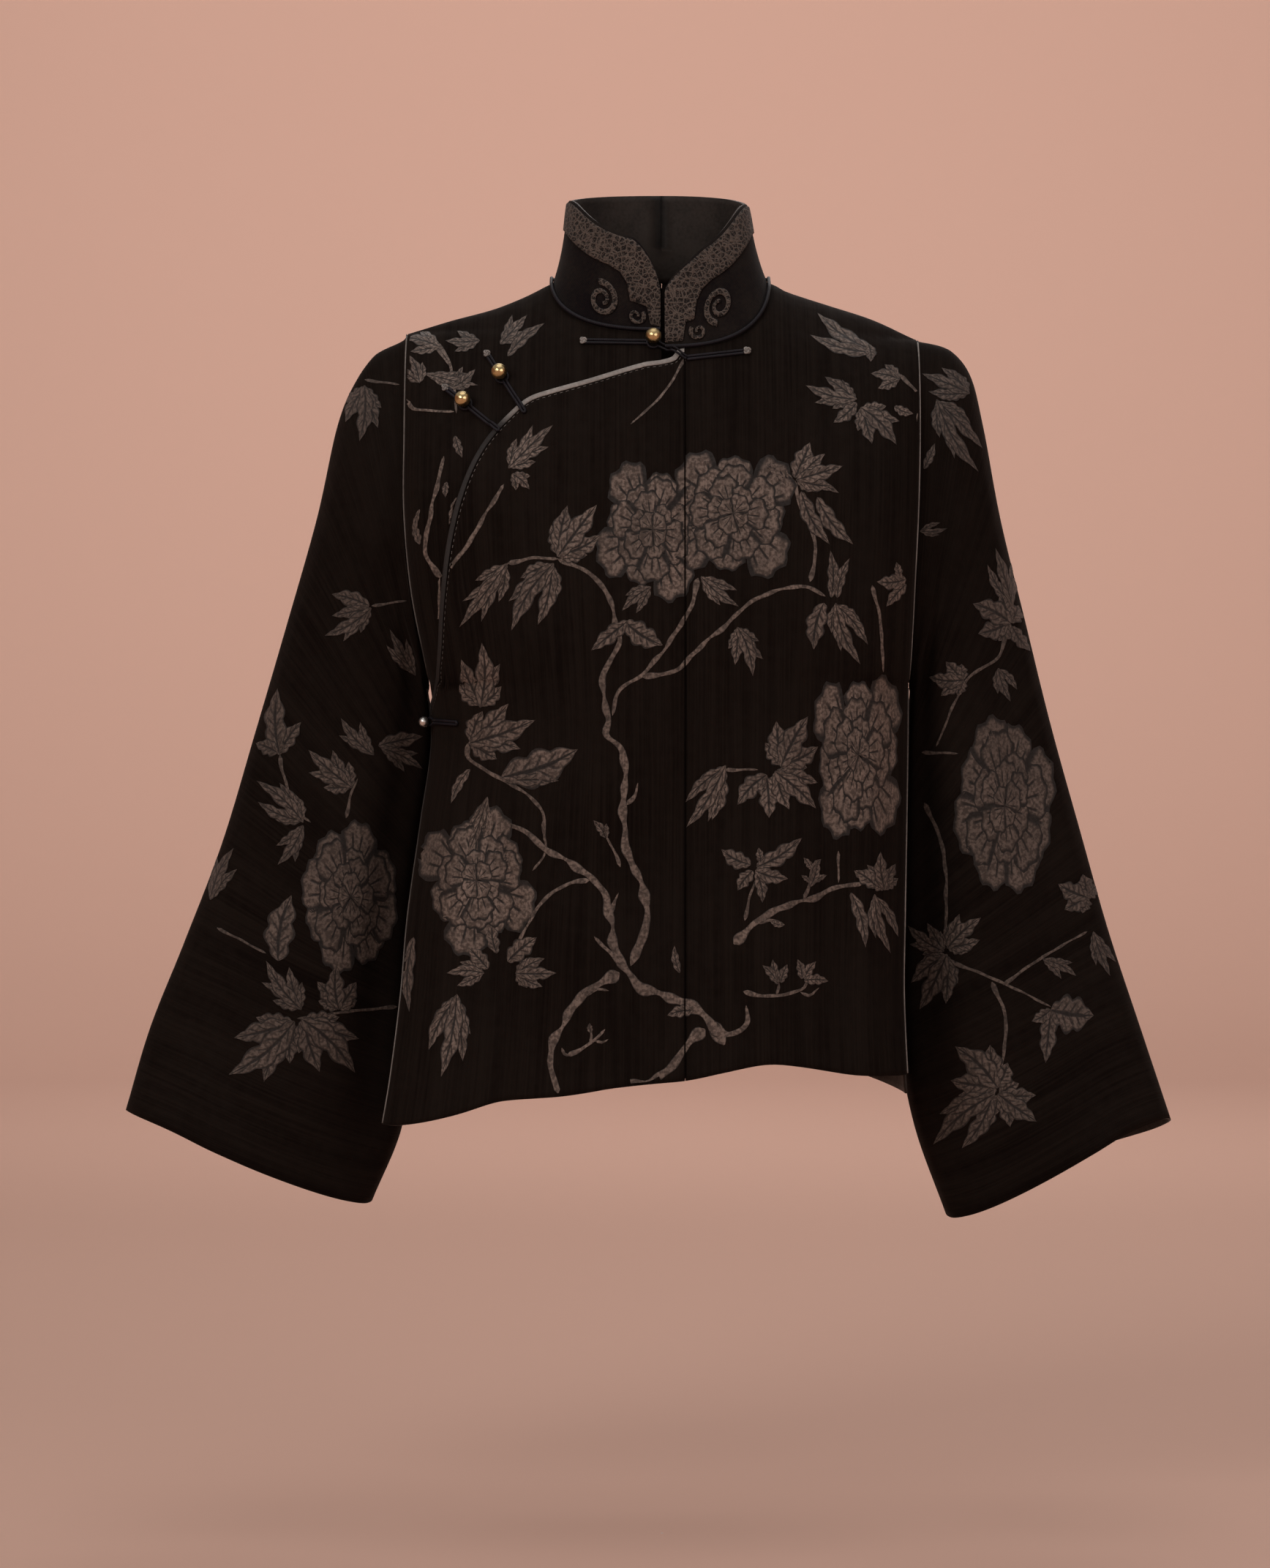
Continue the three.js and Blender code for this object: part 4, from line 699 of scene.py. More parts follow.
SLEEVE_LEAVES = {
    1: [
        (1263, 641, 1278, 606, 12, 1), (1280, 546, 1337, 645, 34, 3), (1325, 538, 1260, 511, 31, 3),
        (1257, 726, 1295, 722, 14, 3), (1383, 829, 1360, 749, 27, 3), (1381, 852, 1329, 825, 54, 3),
        (1383, 856, 1408, 890, 18, 1), (1318, 929, 1270, 925, 40, 3), (1364, 913, 1381, 959, 23, 3),
        (1486, 1227, 1446, 1208, 46, 3), (1291, 1300, 1241, 1265, 32, 3), (1295, 1296, 1341, 1254, 38, 3),
        (1295, 1304, 1257, 1380, 47, 3), (1364, 1487, 1306, 1430, 61, 3), (1360, 1495, 1276, 1564, 47, 3),
        (1364, 1495, 1417, 1533, 47, 3), (1436, 1380, 1429, 1453, 23, 1), (1436, 1380, 1410, 1396, 18, 1),
        (1436, 1380, 1495, 1388, 51, 1), (1425, 1311, 1471, 1334, 23, 3), (1494, 1273, 1517, 1334, 23, 3),
    ],
    -1: [
        (499, 527, 492, 603, 38, 3), (508, 831, 444, 869, 32, 3), (505, 828, 454, 812, 22, 1),
        (568, 923, 533, 860, 24, 3), (382, 1032, 380, 941, 29, 1), (380, 1029, 350, 1016, 22, 1),
        (383, 1029, 412, 987, 22, 1), (511, 1032, 466, 981, 29, 3), (482, 1077, 422, 1025, 38, 3),
        (517, 1019, 578, 1006, 22, 1), (521, 1022, 578, 1051, 27, 3), (415, 1124, 351, 1067, 33, 3),
        (415, 1128, 380, 1182, 29, 3), (288, 1230, 320, 1159, 29, 3), (380, 1313, 399, 1223, 40, 1),
        (412, 1380, 364, 1313, 36, 3), (463, 1380, 460, 1319, 45, 3), (403, 1396, 313, 1469, 61, 3),
        (412, 1392, 485, 1466, 59, 3),
    ],
}
SLEEVE_FLOWERS = {1: [(1373, 1102, 68, 122, 25)], -1: [(479, 1226, 66, 104, 60)]}
SLEEVE_STEMS = {
    1: [
        ((5, 3), (1260, 1028), (1310, 1030)),
        ((6, 4), (1264, 1097), (1287, 1151), (1293, 1197), (1293, 1265), (1287, 1300)),
        ((5, 3), (1302, 1315), (1368, 1342), (1436, 1376)),
        ((5, 3), (1371, 1346), (1425, 1308), (1486, 1273)),
        ((6, 4), (1356, 1342), (1375, 1396), (1364, 1487)),
        ((5, 3), (1375, 867), (1364, 898), (1322, 929), (1280, 1020)),
    ],
    -1: [
        ((5, 3), (543, 1376), (479, 1382), (434, 1389), (406, 1392)), ((4, 3), (297, 1268), (364, 1303)),
        ((5, 3), (383, 1032), (387, 1057), (406, 1108), (425, 1124)),
        ((5, 3), (473, 1118), (479, 1089), (489, 1064)),
        ((4, 3), (508, 828), (556, 821)), ((4, 3), (499, 519), (524, 523), (546, 526)),
    ],
}
LEAF, PETAL, STEM = 0, 1, 2


def seen_from_front(points):
    """Where points in millimetres lie on the drawing."""
    aside, ahead, up = np.moveaxis(points - np.array(CAMERA), -1, 0)
    return np.stack([
        DRAWING_MIDDLE[0] + DRAWING_REACH * aside / ahead, DRAWING_MIDDLE[1] - DRAWING_REACH * up / ahead
    ], -1)


def seen_from_behind(points):
    """The same for the mirrored drawing that is laid on the back."""
    aside, _, up = np.moveaxis(points - np.array(CAMERA), -1, 0)
    return np.stack([DRAWING_MIDDLE[0] - DRAWING_SCALE * aside, DRAWING_MIDDLE[1] - DRAWING_SCALE * up], -1)


class Figure:
    """Flat drawn leaves, petals and stems, which are then laid on the cloth."""

    def __init__(self):
        self.points, self.marks, self.lifts, self.quads, self.kinds, self.group = [], [], [], [], [], []
        self.count = 0

    def add_grid(self, points, marks, kind, layer=0):
        """marks says where each point lies in its leaf, petal or stem: along it, and across it from -1 to 1."""
        n, m = points.shape[:2]
        quads = grid_quads(self.count, n, m)
        self.points.append(points.reshape(-1, 2))
        self.marks.append(np.broadcast_to(marks, points.shape).reshape(-1, 2))
        self.lifts.append(np.full(n * m, bpy.context.scene.robe_sizes.relief / MM + FIGURE_LAYER * layer))
        self.group.append(np.full(n * m, len(self.group)))
        self.quads.append(quads)
        self.kinds.append(np.full(len(quads), kind))
        self.count += n * m

    def blade(self, base, tip, width, seed, layer=0.6):
        """One lobed blade. seed makes each a little different."""
        base, tip = np.array(base, float), np.array(tip, float)
        run = tip - base
        across = np.array([-run[1], run[0]]) / np.hypot(*run)
        t, s = steps(24)[:, None], np.linspace(-1, 1, 7)[None]
        lobe = 0.72 + 0.36 * np.abs(np.sin(math.pi * (3.2 * t + 0.35 * np.sign(s) + 0.2 * math.sin(seed))))
        half = width / 2 * np.sin(math.pi * np.clip(t, 0, 1) ** 0.86) ** 0.66 * lobe + 0.02 * width
        bow = 0.07 * math.sin(seed * 2.3) * np.hypot(*run) * np.sin(math.pi * t)
        points = base + run * t[..., None] + across * (s * half * (1 - 0.9 * t**8) + bow)[..., None]
        self.add_grid(points, paired(t, s), LEAF, layer)

    def leaf(self, bx, by, tx, ty, width, blades):
        """A leaf of one blade, or of a middle blade over two or four that spread from its base."""
        base, tip = np.array([bx, by], float), np.array([tx, ty], float)
        run = tip - base
        seed = bx * 0.37 + ty * 0.11
        if blades == 1:
            self.blade(base, tip, width, seed)
            return
        lean = math.asin(min(0.85, width / (1.3 * np.hypot(*run))))
        ways = [(-1, 0.8), (1, 0.72)] if width < 30 else [(-1.85, 0.5), (1.9, 0.46), (-1, 0.8), (1, 0.74)]
        for k, (way, length) in enumerate(ways):
            c, s = math.cos(way * lean), math.sin(way * lean)
            end = base + np.array([run[0] * c - run[1] * s, run[0] * s + run[1] * c]) * length
            self.blade(base + run * 0.04, end, width * (0.36 + 0.2 * length), seed + 1.7 * k + 1, 0.3 * k)
        self.blade(base, tip, width * 0.58, seed, 1.6)

    def flower(self, x, y, wide, high, lean):
        """A peony in rings: number of petals, inner and outer reach, turn as a share of a petal, and layer."""
        rings = [(8, 0.42, 1.0, 0.0, 0), (7, 0.26, 0.76, 0.37, 1), (6, 0.1, 0.52, 0.05, 2), (4, 0, 0.3, 0.3, 3)]
        t, s = steps(9)[:, None], np.linspace(-1, 1, 13)[None]
        for count, inner, outer, offset, layer in rings:
            for k in range(count):
                size = 1 + 0.15 * math.sin(3.1 * k + lean + 1.7 * layer)
                turn = 2 * math.pi * (k + offset) / count + math.radians(lean) + 0.13 * math.sin(5 * k + lean)
                spread = math.pi / count * 1.2 * (0.45 + 0.55 * np.sin(math.pi * (0.1 + 0.5 * t)))
                scallop = 1 - 0.27 * np.abs(s) ** 2.4 + 0.05 * np.cos(10 * s + 2 * k)
                r = lerp(inner, outer * size, t * scallop)
                angle = turn + s * spread
                points = np.stack([x + wide * r * np.cos(angle), y + high * r * np.sin(angle)], -1)
                self.add_grid(points, paired(t, s), PETAL, layer + 0.4 * (k % 2))

    def stem(self, widths, *points):
        """A gnarled branch along some points."""
        reach = np.hypot(*np.diff(np.array(points, float), axis=0).T).sum()
        t = steps(max(4, int(reach / 5)))
        line = along(points, t)
        heading = unit(np.gradient(line, axis=0))
        across = np.stack([-heading[:, 1], heading[:, 0]], -1)
        wide = lerp(*widths, t)
        gnarl = np.sin(t * reach * 0.13) * np.sin(t * reach * 0.031 + 1)
        half = wide / 2 * (1 + 0.16 * np.sin(t * reach * 0.21) + 0.34 * gnarl * np.clip(wide / 8, 0, 1.4))
        half *= np.sqrt(np.clip(np.minimum(t, 1 - t) * reach / (wide / 2), 0.05, 1))
        line += across * (gnarl * wide * 0.2 * np.sin(math.pi * t))[:, None]
        s = np.array([-1, 0, 1])
        grid = line[:, None] + across[:, None] * (s[None] * half[:, None])[..., None]
        self.add_grid(grid, paired(t[:, None] * reach / 60, s[None]), STEM)

    def lay(self, name, surface, project, low, high, allowed, materials, cloth_of):
        """Moves every drawn point onto the surface under it, and leaves out what falls beside the cloth."""
        target, group, lifts = (np.concatenate(rows) for rows in (self.points, self.group, self.lifts))
        a, b = np.meshgrid(np.linspace(low[0], high[0], 60), np.linspace(low[1], high[1], 80), indexing="ij")
        a, b = a.ravel(), b.ravel()
        shown = project(surface(a, b))
        centre = np.stack([np.bincount(group, target[:, k]) / np.bincount(group) for k in (0, 1)], -1)
        pick = np.argmin(((centre[:, None] - shown[None]) ** 2).sum(-1), axis=1)[group]
        at = np.stack([a[pick], b[pick]], -1)
        small = (np.array(high) - low) * 1e-4
        for _ in range(9):
            here = project(surface(at[:, 0], at[:, 1]))
            by_a = (project(surface(at[:, 0] + small[0], at[:, 1])) - here) / small[0]
            by_b = (project(surface(at[:, 0], at[:, 1] + small[1])) - here) / small[1]
            miss = target - here
            size = by_a[:, 0] * by_b[:, 1] - by_a[:, 1] * by_b[:, 0]
            size = np.where(np.abs(size) < 1e-9, 1e-9, size)
            move = np.stack([
                (miss[:, 0] * by_b[:, 1] - miss[:, 1] * by_b[:, 0]) / size,
                (by_a[:, 0] * miss[:, 1] - by_a[:, 1] * miss[:, 0]) / size,
            ], -1)
            limit = (np.array(high) - low) * 0.08
            at = np.clip(at + np.clip(move, -limit, limit), low, high)
        off = np.linalg.norm(project(surface(at[:, 0], at[:, 1])) - target, axis=1)
        points = surface(at[:, 0], at[:, 1], lifts)
        quads, kinds = np.concatenate(self.quads), np.concatenate(self.kinds)
        good = (off < 1.5) & allowed(at[:, 0], at[:, 1])
        keep = good[quads].all(1)
        quads, kinds = quads[keep], kinds[keep]
        used, quads = np.unique(quads, return_inverse=True)
        quads = quads.reshape(-1, 4)
        marks, cloth = np.concatenate(self.marks)[used], cloth_of(at[used])
        maps = {"Cloth": cloth[quads], "Figure": marks[quads]}
        return make_mesh(name, points[used], quads, maps, materials, kinds)


def drawn(leaves, flowers, stems):
    figure = Figure()
    for row in stems:
        figure.stem(*row)
    for row in leaves:
        figure.leaf(*row)
    for row in flowers:
        figure.flower(*row)
    return figure


# ---------------------------------------------------------------- finishes
def rgba(colour):
    return (*colour[:3], 1.0)


def add_node(tree, kind, inputs=None, **settings):
    node = tree.nodes.new(kind)
    for name, value in settings.items():
        setattr(node, name, value)
    for socket, value in (inputs or {}).items():
        if isinstance(value, bpy.types.NodeSocket):
            tree.links.new(value, node.inputs[socket])
        else:
            node.inputs[socket].default_value = value
    return node


def maths(tree, operation, *values):
    return add_node(tree, "ShaderNodeMath", dict(enumerate(values)), operation=operation).outputs[0]


def times(tree, a, b):
    return maths(tree, "MULTIPLY", a, b)


def plus(tree, a, b):
    return maths(tree, "ADD", a, b)


def minus(tree, a, b):
    return maths(tree, "SUBTRACT", a, b)


def most(tree, first, *others):
    for other in others:
        first = maths(tree, "MAXIMUM", first, other)
    return first


def mixed(tree, share, a, b):
    return add_node(tree, "ShaderNodeMix", {0: share, 6: a, 7: b}, data_type="RGBA").outputs[2]


def tinted(tree, base, mask, share, colour):
    """The base with a share of a colour where the mask is 1."""
    return mixed(tree, times(tree, mask, share), base, rgba(colour))


def between(tree, value, low, high, bottom=0.0, top=1.0):
    """0 below low and 1 above high, smoothly, or from bottom to top."""
    inputs = {0: value, 1: low, 2: high, 3: bottom, 4: top}
    return add_node(tree, "ShaderNodeMapRange", inputs, interpolation_type="SMOOTHSTEP").outputs[0]


def noise(tree, vector, scale, detail=2.0):
    return add_node(tree, "ShaderNodeTexNoise", {"Vector": vector, "Scale": scale, "Detail": detail}).outputs[0]


def object_place(tree):
    """The place on the robe, in metres."""
    return add_node(tree, "ShaderNodeTexCoord").outputs["Object"]


def cloth_place(tree):
    """The place on the cloth across and along the warp, in metres."""
    place = add_node(tree, "ShaderNodeUVMap", uv_map="Cloth").outputs[0]
    apart = add_node(tree, "ShaderNodeSeparateXYZ", {0: place})
    return apart.outputs[0], apart.outputs[1]


def node_group(name, inputs, output, fill):
    """A shader node group, made once. fill returns the socket of its output."""
    if name in bpy.data.node_groups:
        return bpy.data.node_groups[name]
    tree = bpy.data.node_groups.new(name, "ShaderNodeTree")
    for label, value in inputs.items():
        tree.interface.new_socket(label, in_out="INPUT", socket_type="NodeSocketFloat").default_value = value
    tree.interface.new_socket(output, in_out="OUTPUT", socket_type="NodeSocketFloat")
    made = fill(tree, tree.nodes.new("NodeGroupInput").outputs)
    tree.links.new(made, tree.nodes.new("NodeGroupOutput").inputs[output])
    return tree


def place_group(tree, name, output, fill, **values):
    """Places a node group in a material with its own values."""
    group = add_node(tree, "ShaderNodeGroup", node_tree=node_group(name, values, output, fill))
    for label, value in values.items():
        group.inputs[label].default_value = value
    return group.outputs[output]


def fill_ribs(tree, inlet):
    u, v = cloth_place(tree)
    ribs = times(tree, u, inlet["Ribs"])
    fine = add_node(tree, "ShaderNodeCombineXYZ", {0: ribs, 1: times(tree, v, inlet["Length"])})
    bands = times(tree, u, maths(tree, "DIVIDE", inlet["Ribs"], 6.0))
    wide = add_node(tree, "ShaderNodeCombineXYZ", {0: bands, 1: times(tree, v, 2.5), 2: 7.0})
    narrow, broad = noise(tree, fine.outputs[0], 1.0, 3.0), noise(tree, wide.outputs[0], 1.0, 1.0)
    return between(tree, plus(tree, times(tree, narrow, 0.62), times(tree, broad, 0.38)), 0.32, 0.68)


def streaks(tree, ribs=620.0, length=9.0):
    """The ribs of the pile, some paler than others. ribs and length are how many change over a metre."""
    return place_group(tree, "Pile ribs", "Streak", fill_ribs, Ribs=ribs, Length=length)


def fill_weave(tree, inlet):
    warp, weft = (maths(tree, "SINE", times(tree, place, inlet["Threads"])) for place in cloth_place(tree))
    return plus(tree, times(tree, times(tree, warp, weft), 0.5), 0.5)


def weave(tree, threads=9000.0):
    """The height of an even weave."""
    return place_group(tree, "Thread weave", "Height", fill_weave, Threads=threads)


def fill_tone(tree, inlet):
    place, fine_scale = object_place(tree), times(tree, inlet["Scale"], 14.0)
    broad, fine = noise(tree, place, inlet["Scale"], 3.0), noise(tree, place, fine_scale, 3.0)
    return between(tree, plus(tree, times(tree, broad, 0.65), times(tree, fine, 0.35)), 0.3, 0.7)


def worn_tone(tree, scale=9.0):
    """Uneven wear in large and small patches."""
    return place_group(tree, "Worn tone", "Tone", fill_tone, Scale=scale)


def finish(name, paint, **plain):
    """A material. paint returns base colour, roughness and bump height, or None for what it leaves plain."""
    if name in bpy.data.materials:
        return bpy.data.materials[name]
    material = bpy.data.materials.new(name)
    material.use_nodes = True
    tree = material.node_tree
    tree.nodes.clear()
    shader = add_node(tree, "ShaderNodeBsdfPrincipled")
    add_node(tree, "ShaderNodeOutputMaterial", {0: shader.outputs[0]})
    depth = plain.pop("depth", 0.0003)
    colour, roughness, height = paint(tree)
    tree.links.new(colour, shader.inputs["Base Color"])
    if roughness is not None:
        tree.links.new(roughness, shader.inputs["Roughness"])
    if height is not None:
        bump = add_node(tree, "ShaderNodeBump", {"Strength": 0.8, "Distance": depth, "Height": height})
        tree.links.new(bump.outputs[0], shader.inputs["Normal"])
    for label, value in plain.items():
        shader.inputs[label.replace("_", " ")].default_value = value
    return material


def velvet():
    """Cut pile in fine ribs, nearly black brown, greyer where it is rubbed."""
    colours = bpy.context.scene.robe_colours

    def paint(tree):
        streak, tone = streaks(tree), worn_tone(tree)
        base = tinted(tree, rgba(colours.pile), streak, 0.75, colours.pile_light)
        base = tinted(tree, base, tone, 0.45, colours.pile_light)
        nap = noise(tree, object_place(tree), 1500.0)
        roughness = between(tree, tone, 0, 1, 0.98, 0.84)
        return base, roughness, plus(tree, times(tree, streak, 0.7), times(tree, nap, 0.6))

    return finish(
        "velvet pile", paint, Sheen_Weight=0.06, Sheen_Roughness=0.3, Sheen_Tint=(0.55, 0.45, 0.4, 1),
        Specular_IOR_Level=0.06,
    )


def figured(name, lines, light=1.0):
    """The flat woven ground inside the figure, with darker lines from lines(). A light below 1 darkens it as
    painted shade.
    """
    colours = bpy.context.scene.robe_colours

    def paint(tree):
        marks = add_node(tree, "ShaderNodeUVMap", uv_map="Figure").outputs[0]
        apart = add_node(tree, "ShaderNodeSeparateXYZ", {0: marks})
        run, aside = apart.outputs[0], apart.outputs[1]
        dark = lines(tree, run, maths(tree, "ABSOLUTE", aside), aside)
        mottle = between(tree, noise(tree, object_place(tree), 420.0, 4.0), 0.4, 0.6)
        dull, bright = ([c * light for c in colour] for colour in (colours.figure, colours.figure_light))
        base = tinted(tree, rgba(dull), mottle, 0.9, bright)
        base = tinted(tree, base, worn_tone(tree, 26.0), 0.5, colours.figure_dark)
        base = tinted(tree, base, streaks(tree, 900.0, 20.0), 0.42, colours.figure_dark)
        base = tinted(tree, base, dark, 0.96, colours.pile)
        height = minus(tree, times(tree, weave(tree), 0.35), times(tree, dark, 0.8))
        return base, between(tree, mottle, 0, 1, 0.72, 0.58), height

    return finish(name, paint, Sheen_Weight=0.08, Specular_IOR_Level=0.3)


def lines_at(tree, value, offset, thin, wide):
    """Thin lines, one for each whole step of a value."""
    step = minus(tree, maths(tree, "FRACT", plus(tree, value, offset)), 0.5)
    return between(tree, maths(tree, "ABSOLUTE", step), thin, wide, 1.0, 0.0)


def leaf_lines(tree, run, side, aside):
    """The rib, slanting veins and dark edge of a leaf."""
    rib = between(tree, side, 0.07, 0.2, 1.0, 0.0)
    slant = times(tree, minus(tree, run, times(tree, side, 0.22)), 6.0)
    veins = times(tree, lines_at(tree, slant, 0.0, 0.06, 0.22), between(tree, side, 0.9, 0.5, 0.0, 1.0))
    return most(tree, rib, times(tree, veins, 0.8), between(tree, side, 0.76, 0.92, 0.0, 0.95))


def petal_lines(tree, run, side, aside):
    """The dark edge and root of a petal, and a fan of lines from its root."""
    edge, tip = between(tree, side, 0.68, 0.86), between(tree, run, 0.87, 0.96)
    root = between(tree, run, 0.0, 0.3, 0.85, 0.0)
    fan = lines_at(tree, times(tree, aside, 2.0), 0.25, 0.05, 0.17)
    return most(tree, edge, tip, root, times(tree, fan, between(tree, run, 0.82, 0.6, 0.0, 1.0)))


def stem_lines(tree, run, side, aside):
    """The dark edge and knots of a stem."""
    knots = between(tree, maths(tree, "SINE", times(tree, run, 9.0)), 0.7, 1.0, 0.0, 0.35)
    return most(tree, between(tree, side, 0.72, 1.0), knots)


def looped_border():
    """Uncut loops in a scrolling pattern."""
    colours = bpy.context.scene.robe_colours

    def paint(tree):
        place = object_place(tree)
        scroll = add_node(
            tree, "ShaderNodeTexVoronoi", {"Vector": place, "Scale": 260.0}, feature="DISTANCE_TO_EDGE"
        ).outputs[0]
        loops = add_node(tree, "ShaderNodeTexVoronoi", {"Vector": place, "Scale": 900.0}).outputs[0]
        figure = between(tree, scroll, 0.05, 0.17, 1.0, 0.0)
        base = mixed(tree, figure, rgba(colours.border_dark), rgba(colours.border))
        base = tinted(tree, base, between(tree, loops, 0.2, 0.6, 1.0, 0.0), 0.4, colours.border_light)
        base = tinted(tree, base, worn_tone(tree, 40.0), 0.3, colours.border_dark)
        height = plus(tree, times(tree, figure, 0.9), times(tree, loops, -0.7))
        return base, between(tree, figure, 0, 1, 0.95, 0.75), height

    return finish("looped border", paint, Sheen_Weight=0.1, Specular_IOR_Level=0.2, depth=0.0007)


def plain_silk(name, dark, light, threads, roughness, paleness=None, **more):
    """Silk in a fine even weave, with a little uneven dye. Where the optional mask gives 0 it has only its dark
    colour.
    """

    def paint(tree):
        tone, threads_up = worn_tone(tree, 30.0), weave(tree, threads)
        share = tone if paleness is None else times(tree, between(tree, tone, 0, 1, 0.6), paleness(tree))
        base = tinted(tree, mixed(tree, share, rgba(dark), rgba(light)), minus(tree, 1.0, threads_up), 0.25, dark)
        return base, between(tree, tone, 0, 1, roughness + 0.08, roughness - 0.06), threads_up

    return finish(name, paint, **more)


def by_height(low, high):
    """A mask that rises from 0 to 1 between two heights on the robe, in metres."""

    def mask(tree):
        apart = add_node(tree, "ShaderNodeSeparateXYZ", {0: object_place(tree)})
        return between(tree, apart.outputs[2], low, high)

    return mask


def lining():
    colours = bpy.context.scene.robe_colours
    return plain_silk(
        "silk lining", colours.lining, colours.lining_light, 14000.0, 0.6,
        Sheen_Weight=0.04, Specular_IOR_Level=0.2, depth=0.0001,
    )


def edge_silk():
    colours = bpy.context.scene.robe_colours
    return plain_silk("edge silk", colours.edge_dark, colours.edge, 8000.0, 0.7, Sheen_Weight=0.05, depth=0.00015)


def binding_silk():
    """The bound edge, light near the collar and dark down the side."""
    colours = bpy.context.scene.robe_colours
    paleness = by_height(-0.118, -0.1)
    return plain_silk("binding silk", colours.border_dark, colours.edge, 8000.0, 0.7, paleness, depth=0.00015)


def painted_light_edge(name, low, high, highlight):
    """Seam silk whose pale colour is a painted highlight, darkening from high to low as painted shade. The last
    argument is 0 for the shaded edge silk and 1 for the pale silk.
    """
    colours = bpy.context.scene.robe_colours
    light = [lerp(a, b, highlight) for a, b in zip(colours.edge_dark, colours.edge)]
    paleness = by_height(low, high)
    return plain_silk(name, colours.pile, light, 8000.0, 0.8, paleness, Specular_IOR_Level=0.2, depth=0.00015)


def seam_thread():
    colours = bpy.context.scene.robe_colours
    dark = [c * 0.6 for c in colours.pile]
    return plain_silk("seam thread", dark, colours.pile, 9000.0, 0.95, Specular_IOR_Level=0.05, depth=0.0001)


def collar_velvet():
    colours = bpy.context.scene.robe_colours
    return plain_silk(
        "collar velvet", colours.collar, colours.pile_light, 5200.0, 0.92,
        Sheen_Weight=0.05, Specular_IOR_Level=0.08, depth=0.0002,
    )


def satin():
    """Dark twisted satin cord."""
    colours = bpy.context.scene.robe_colours

    def paint(tree):
        u, v = cloth_place(tree)
        twist = maths(tree, "SINE", plus(tree, times(tree, u, 4200.0), times(tree, v, 1800.0)))
        twist = plus(tree, times(tree, twist, 0.5), 0.5)
        base = mixed(tree, worn_tone(tree, 36.0), rgba(colours.satin), rgba(colours.satin_light))
        return base, between(tree, twist, 0, 1, 0.54, 0.66), twist

    return finish("dark satin", paint, Specular_IOR_Level=0.22, depth=0.00012)


def metal(name, colour, dull):
    """Cast metal, polished by use and dull in patches, with fine scratches."""

    def paint(tree):
        tone = worn_tone(tree, 90.0)
        scratches = noise(tree, object_place(tree), 2600.0, 4.0)
        return tinted(tree, rgba(colour), tone, 0.5, dull), between(tree, tone, 0, 1, 0.2, 0.38), scratches

    return finish(name, paint, Metallic=1.0, depth=0.00002)


# ---------------------------------------------------------------- the pieces
BODY_MIDDLE, NECK_MIDDLE = (0, 0, -300), (0, 0, 20)


def seam_hold(points, rows=(0,)):
    """Marks the rows of a grid whose rim stays level in x, because another piece is sewn on there."""
    hold = np.zeros(points.shape, bool)
    hold[list(rows), :, 0] = True
    return hold


def neck_columns(side, start):
    """Where the columns of one half start: along the neckline, then out along the shoulder."""
    turns = lerp(start_turn(side, start), math.pi / 2, steps(NECK_STEPS))
    shoulder = lerp(NECK_HALF[side], BODY_HALF, 1 - (1 - steps(SHOULDER_STEPS)[1:]) ** 1.7)
    return np.concatenate([neck_x(side, turns), side * shoulder])


def add_panel(sheet, side, start, front, bottoms, sink=None):
    """The front or back of one half, from the neckline or shoulder fold to its lower edge."""
    x = neck_columns(side, start)
    top = np.where(np.abs(x) < NECK_HALF[side] - 1e-6, neckline_height(x, front), shoulder_height(x))[:, None]
    seam = smooth((np.abs(x) / BODY_HALF - 0.6) / 0.4)[:, None]
    t = steps(ARMHOLE_STEPS)[None]
    ease = lerp(lerp(t, t * t, 0.75), (1 - np.cos(math.pi * t)) / 2, seam)
    z = np.concatenate([
        lerp(top, UNDERARM, ease), lerp(UNDERARM, bottoms(x)[:, None], steps(HEM_STEPS)[None, 1:])
    ], axis=1)
    across = np.broadcast_to(x[:, None], z.shape)
    lift = np.zeros_like(z) if sink is None else -sink(across, z)
    lift[-1] = 0
    points = body_point(column_share(across, z), z, front, lift)
    points[np.abs(x) > NECK_HALF[side] - 1e-6, 0, 1] = 0
    above = z[-1] > UNDERARM + 1
    points[-1, above, 0] -= side * GAP
    points[-1, ~above, 1] += -GAP if front else GAP
    hold = np.zeros(points.shape, bool)
    hold[0, :, 0] = True
    hold[-1, above, 0] = True
    hold[-1, ~above, 1] = True
    cloth = np.stack([across * MM, (z if front else -z + 40) * MM], -1)
    sheet.add_grid(points, cloth, hold, turned=not front)


def front_hem(x):
    return hem_height(x, True)


def back_hem(x):
    return hem_height(x, False)


def under_hem(x):
    return UNDER_HEM - UNDER_HEM_SLOPE * np.abs(x)


def body_left():
    sheet = Sheet()
    add_panel(sheet, 1, CENTRE_SEAM + GAP, True, front_hem)
    add_panel(sheet, 1, GAP / 2, False, back_hem)
    return sheet.shell("robe_body_left", CLOTH, BODY_MIDDLE, [velvet(), lining()])


def under_sink(x, z):
    """How far the under front gives way to the overlap above it."""
    near_armhole = smooth((-x - 150) / 43) * smooth((z - UNDERARM + 30) / 30)
    return UNDER_SINK * smooth((overlap_edge(x) - 4 - z) / 30) * (1 - near_armhole)


def body_right():
    sheet = Sheet()
    add_panel(sheet, -1, 1, True, under_hem, under_sink)
    add_panel(sheet, -1, GAP / 2, False, back_hem)
    return sheet.shell("robe_body_right", CLOTH, BODY_MIDDLE, [velvet(), lining()])


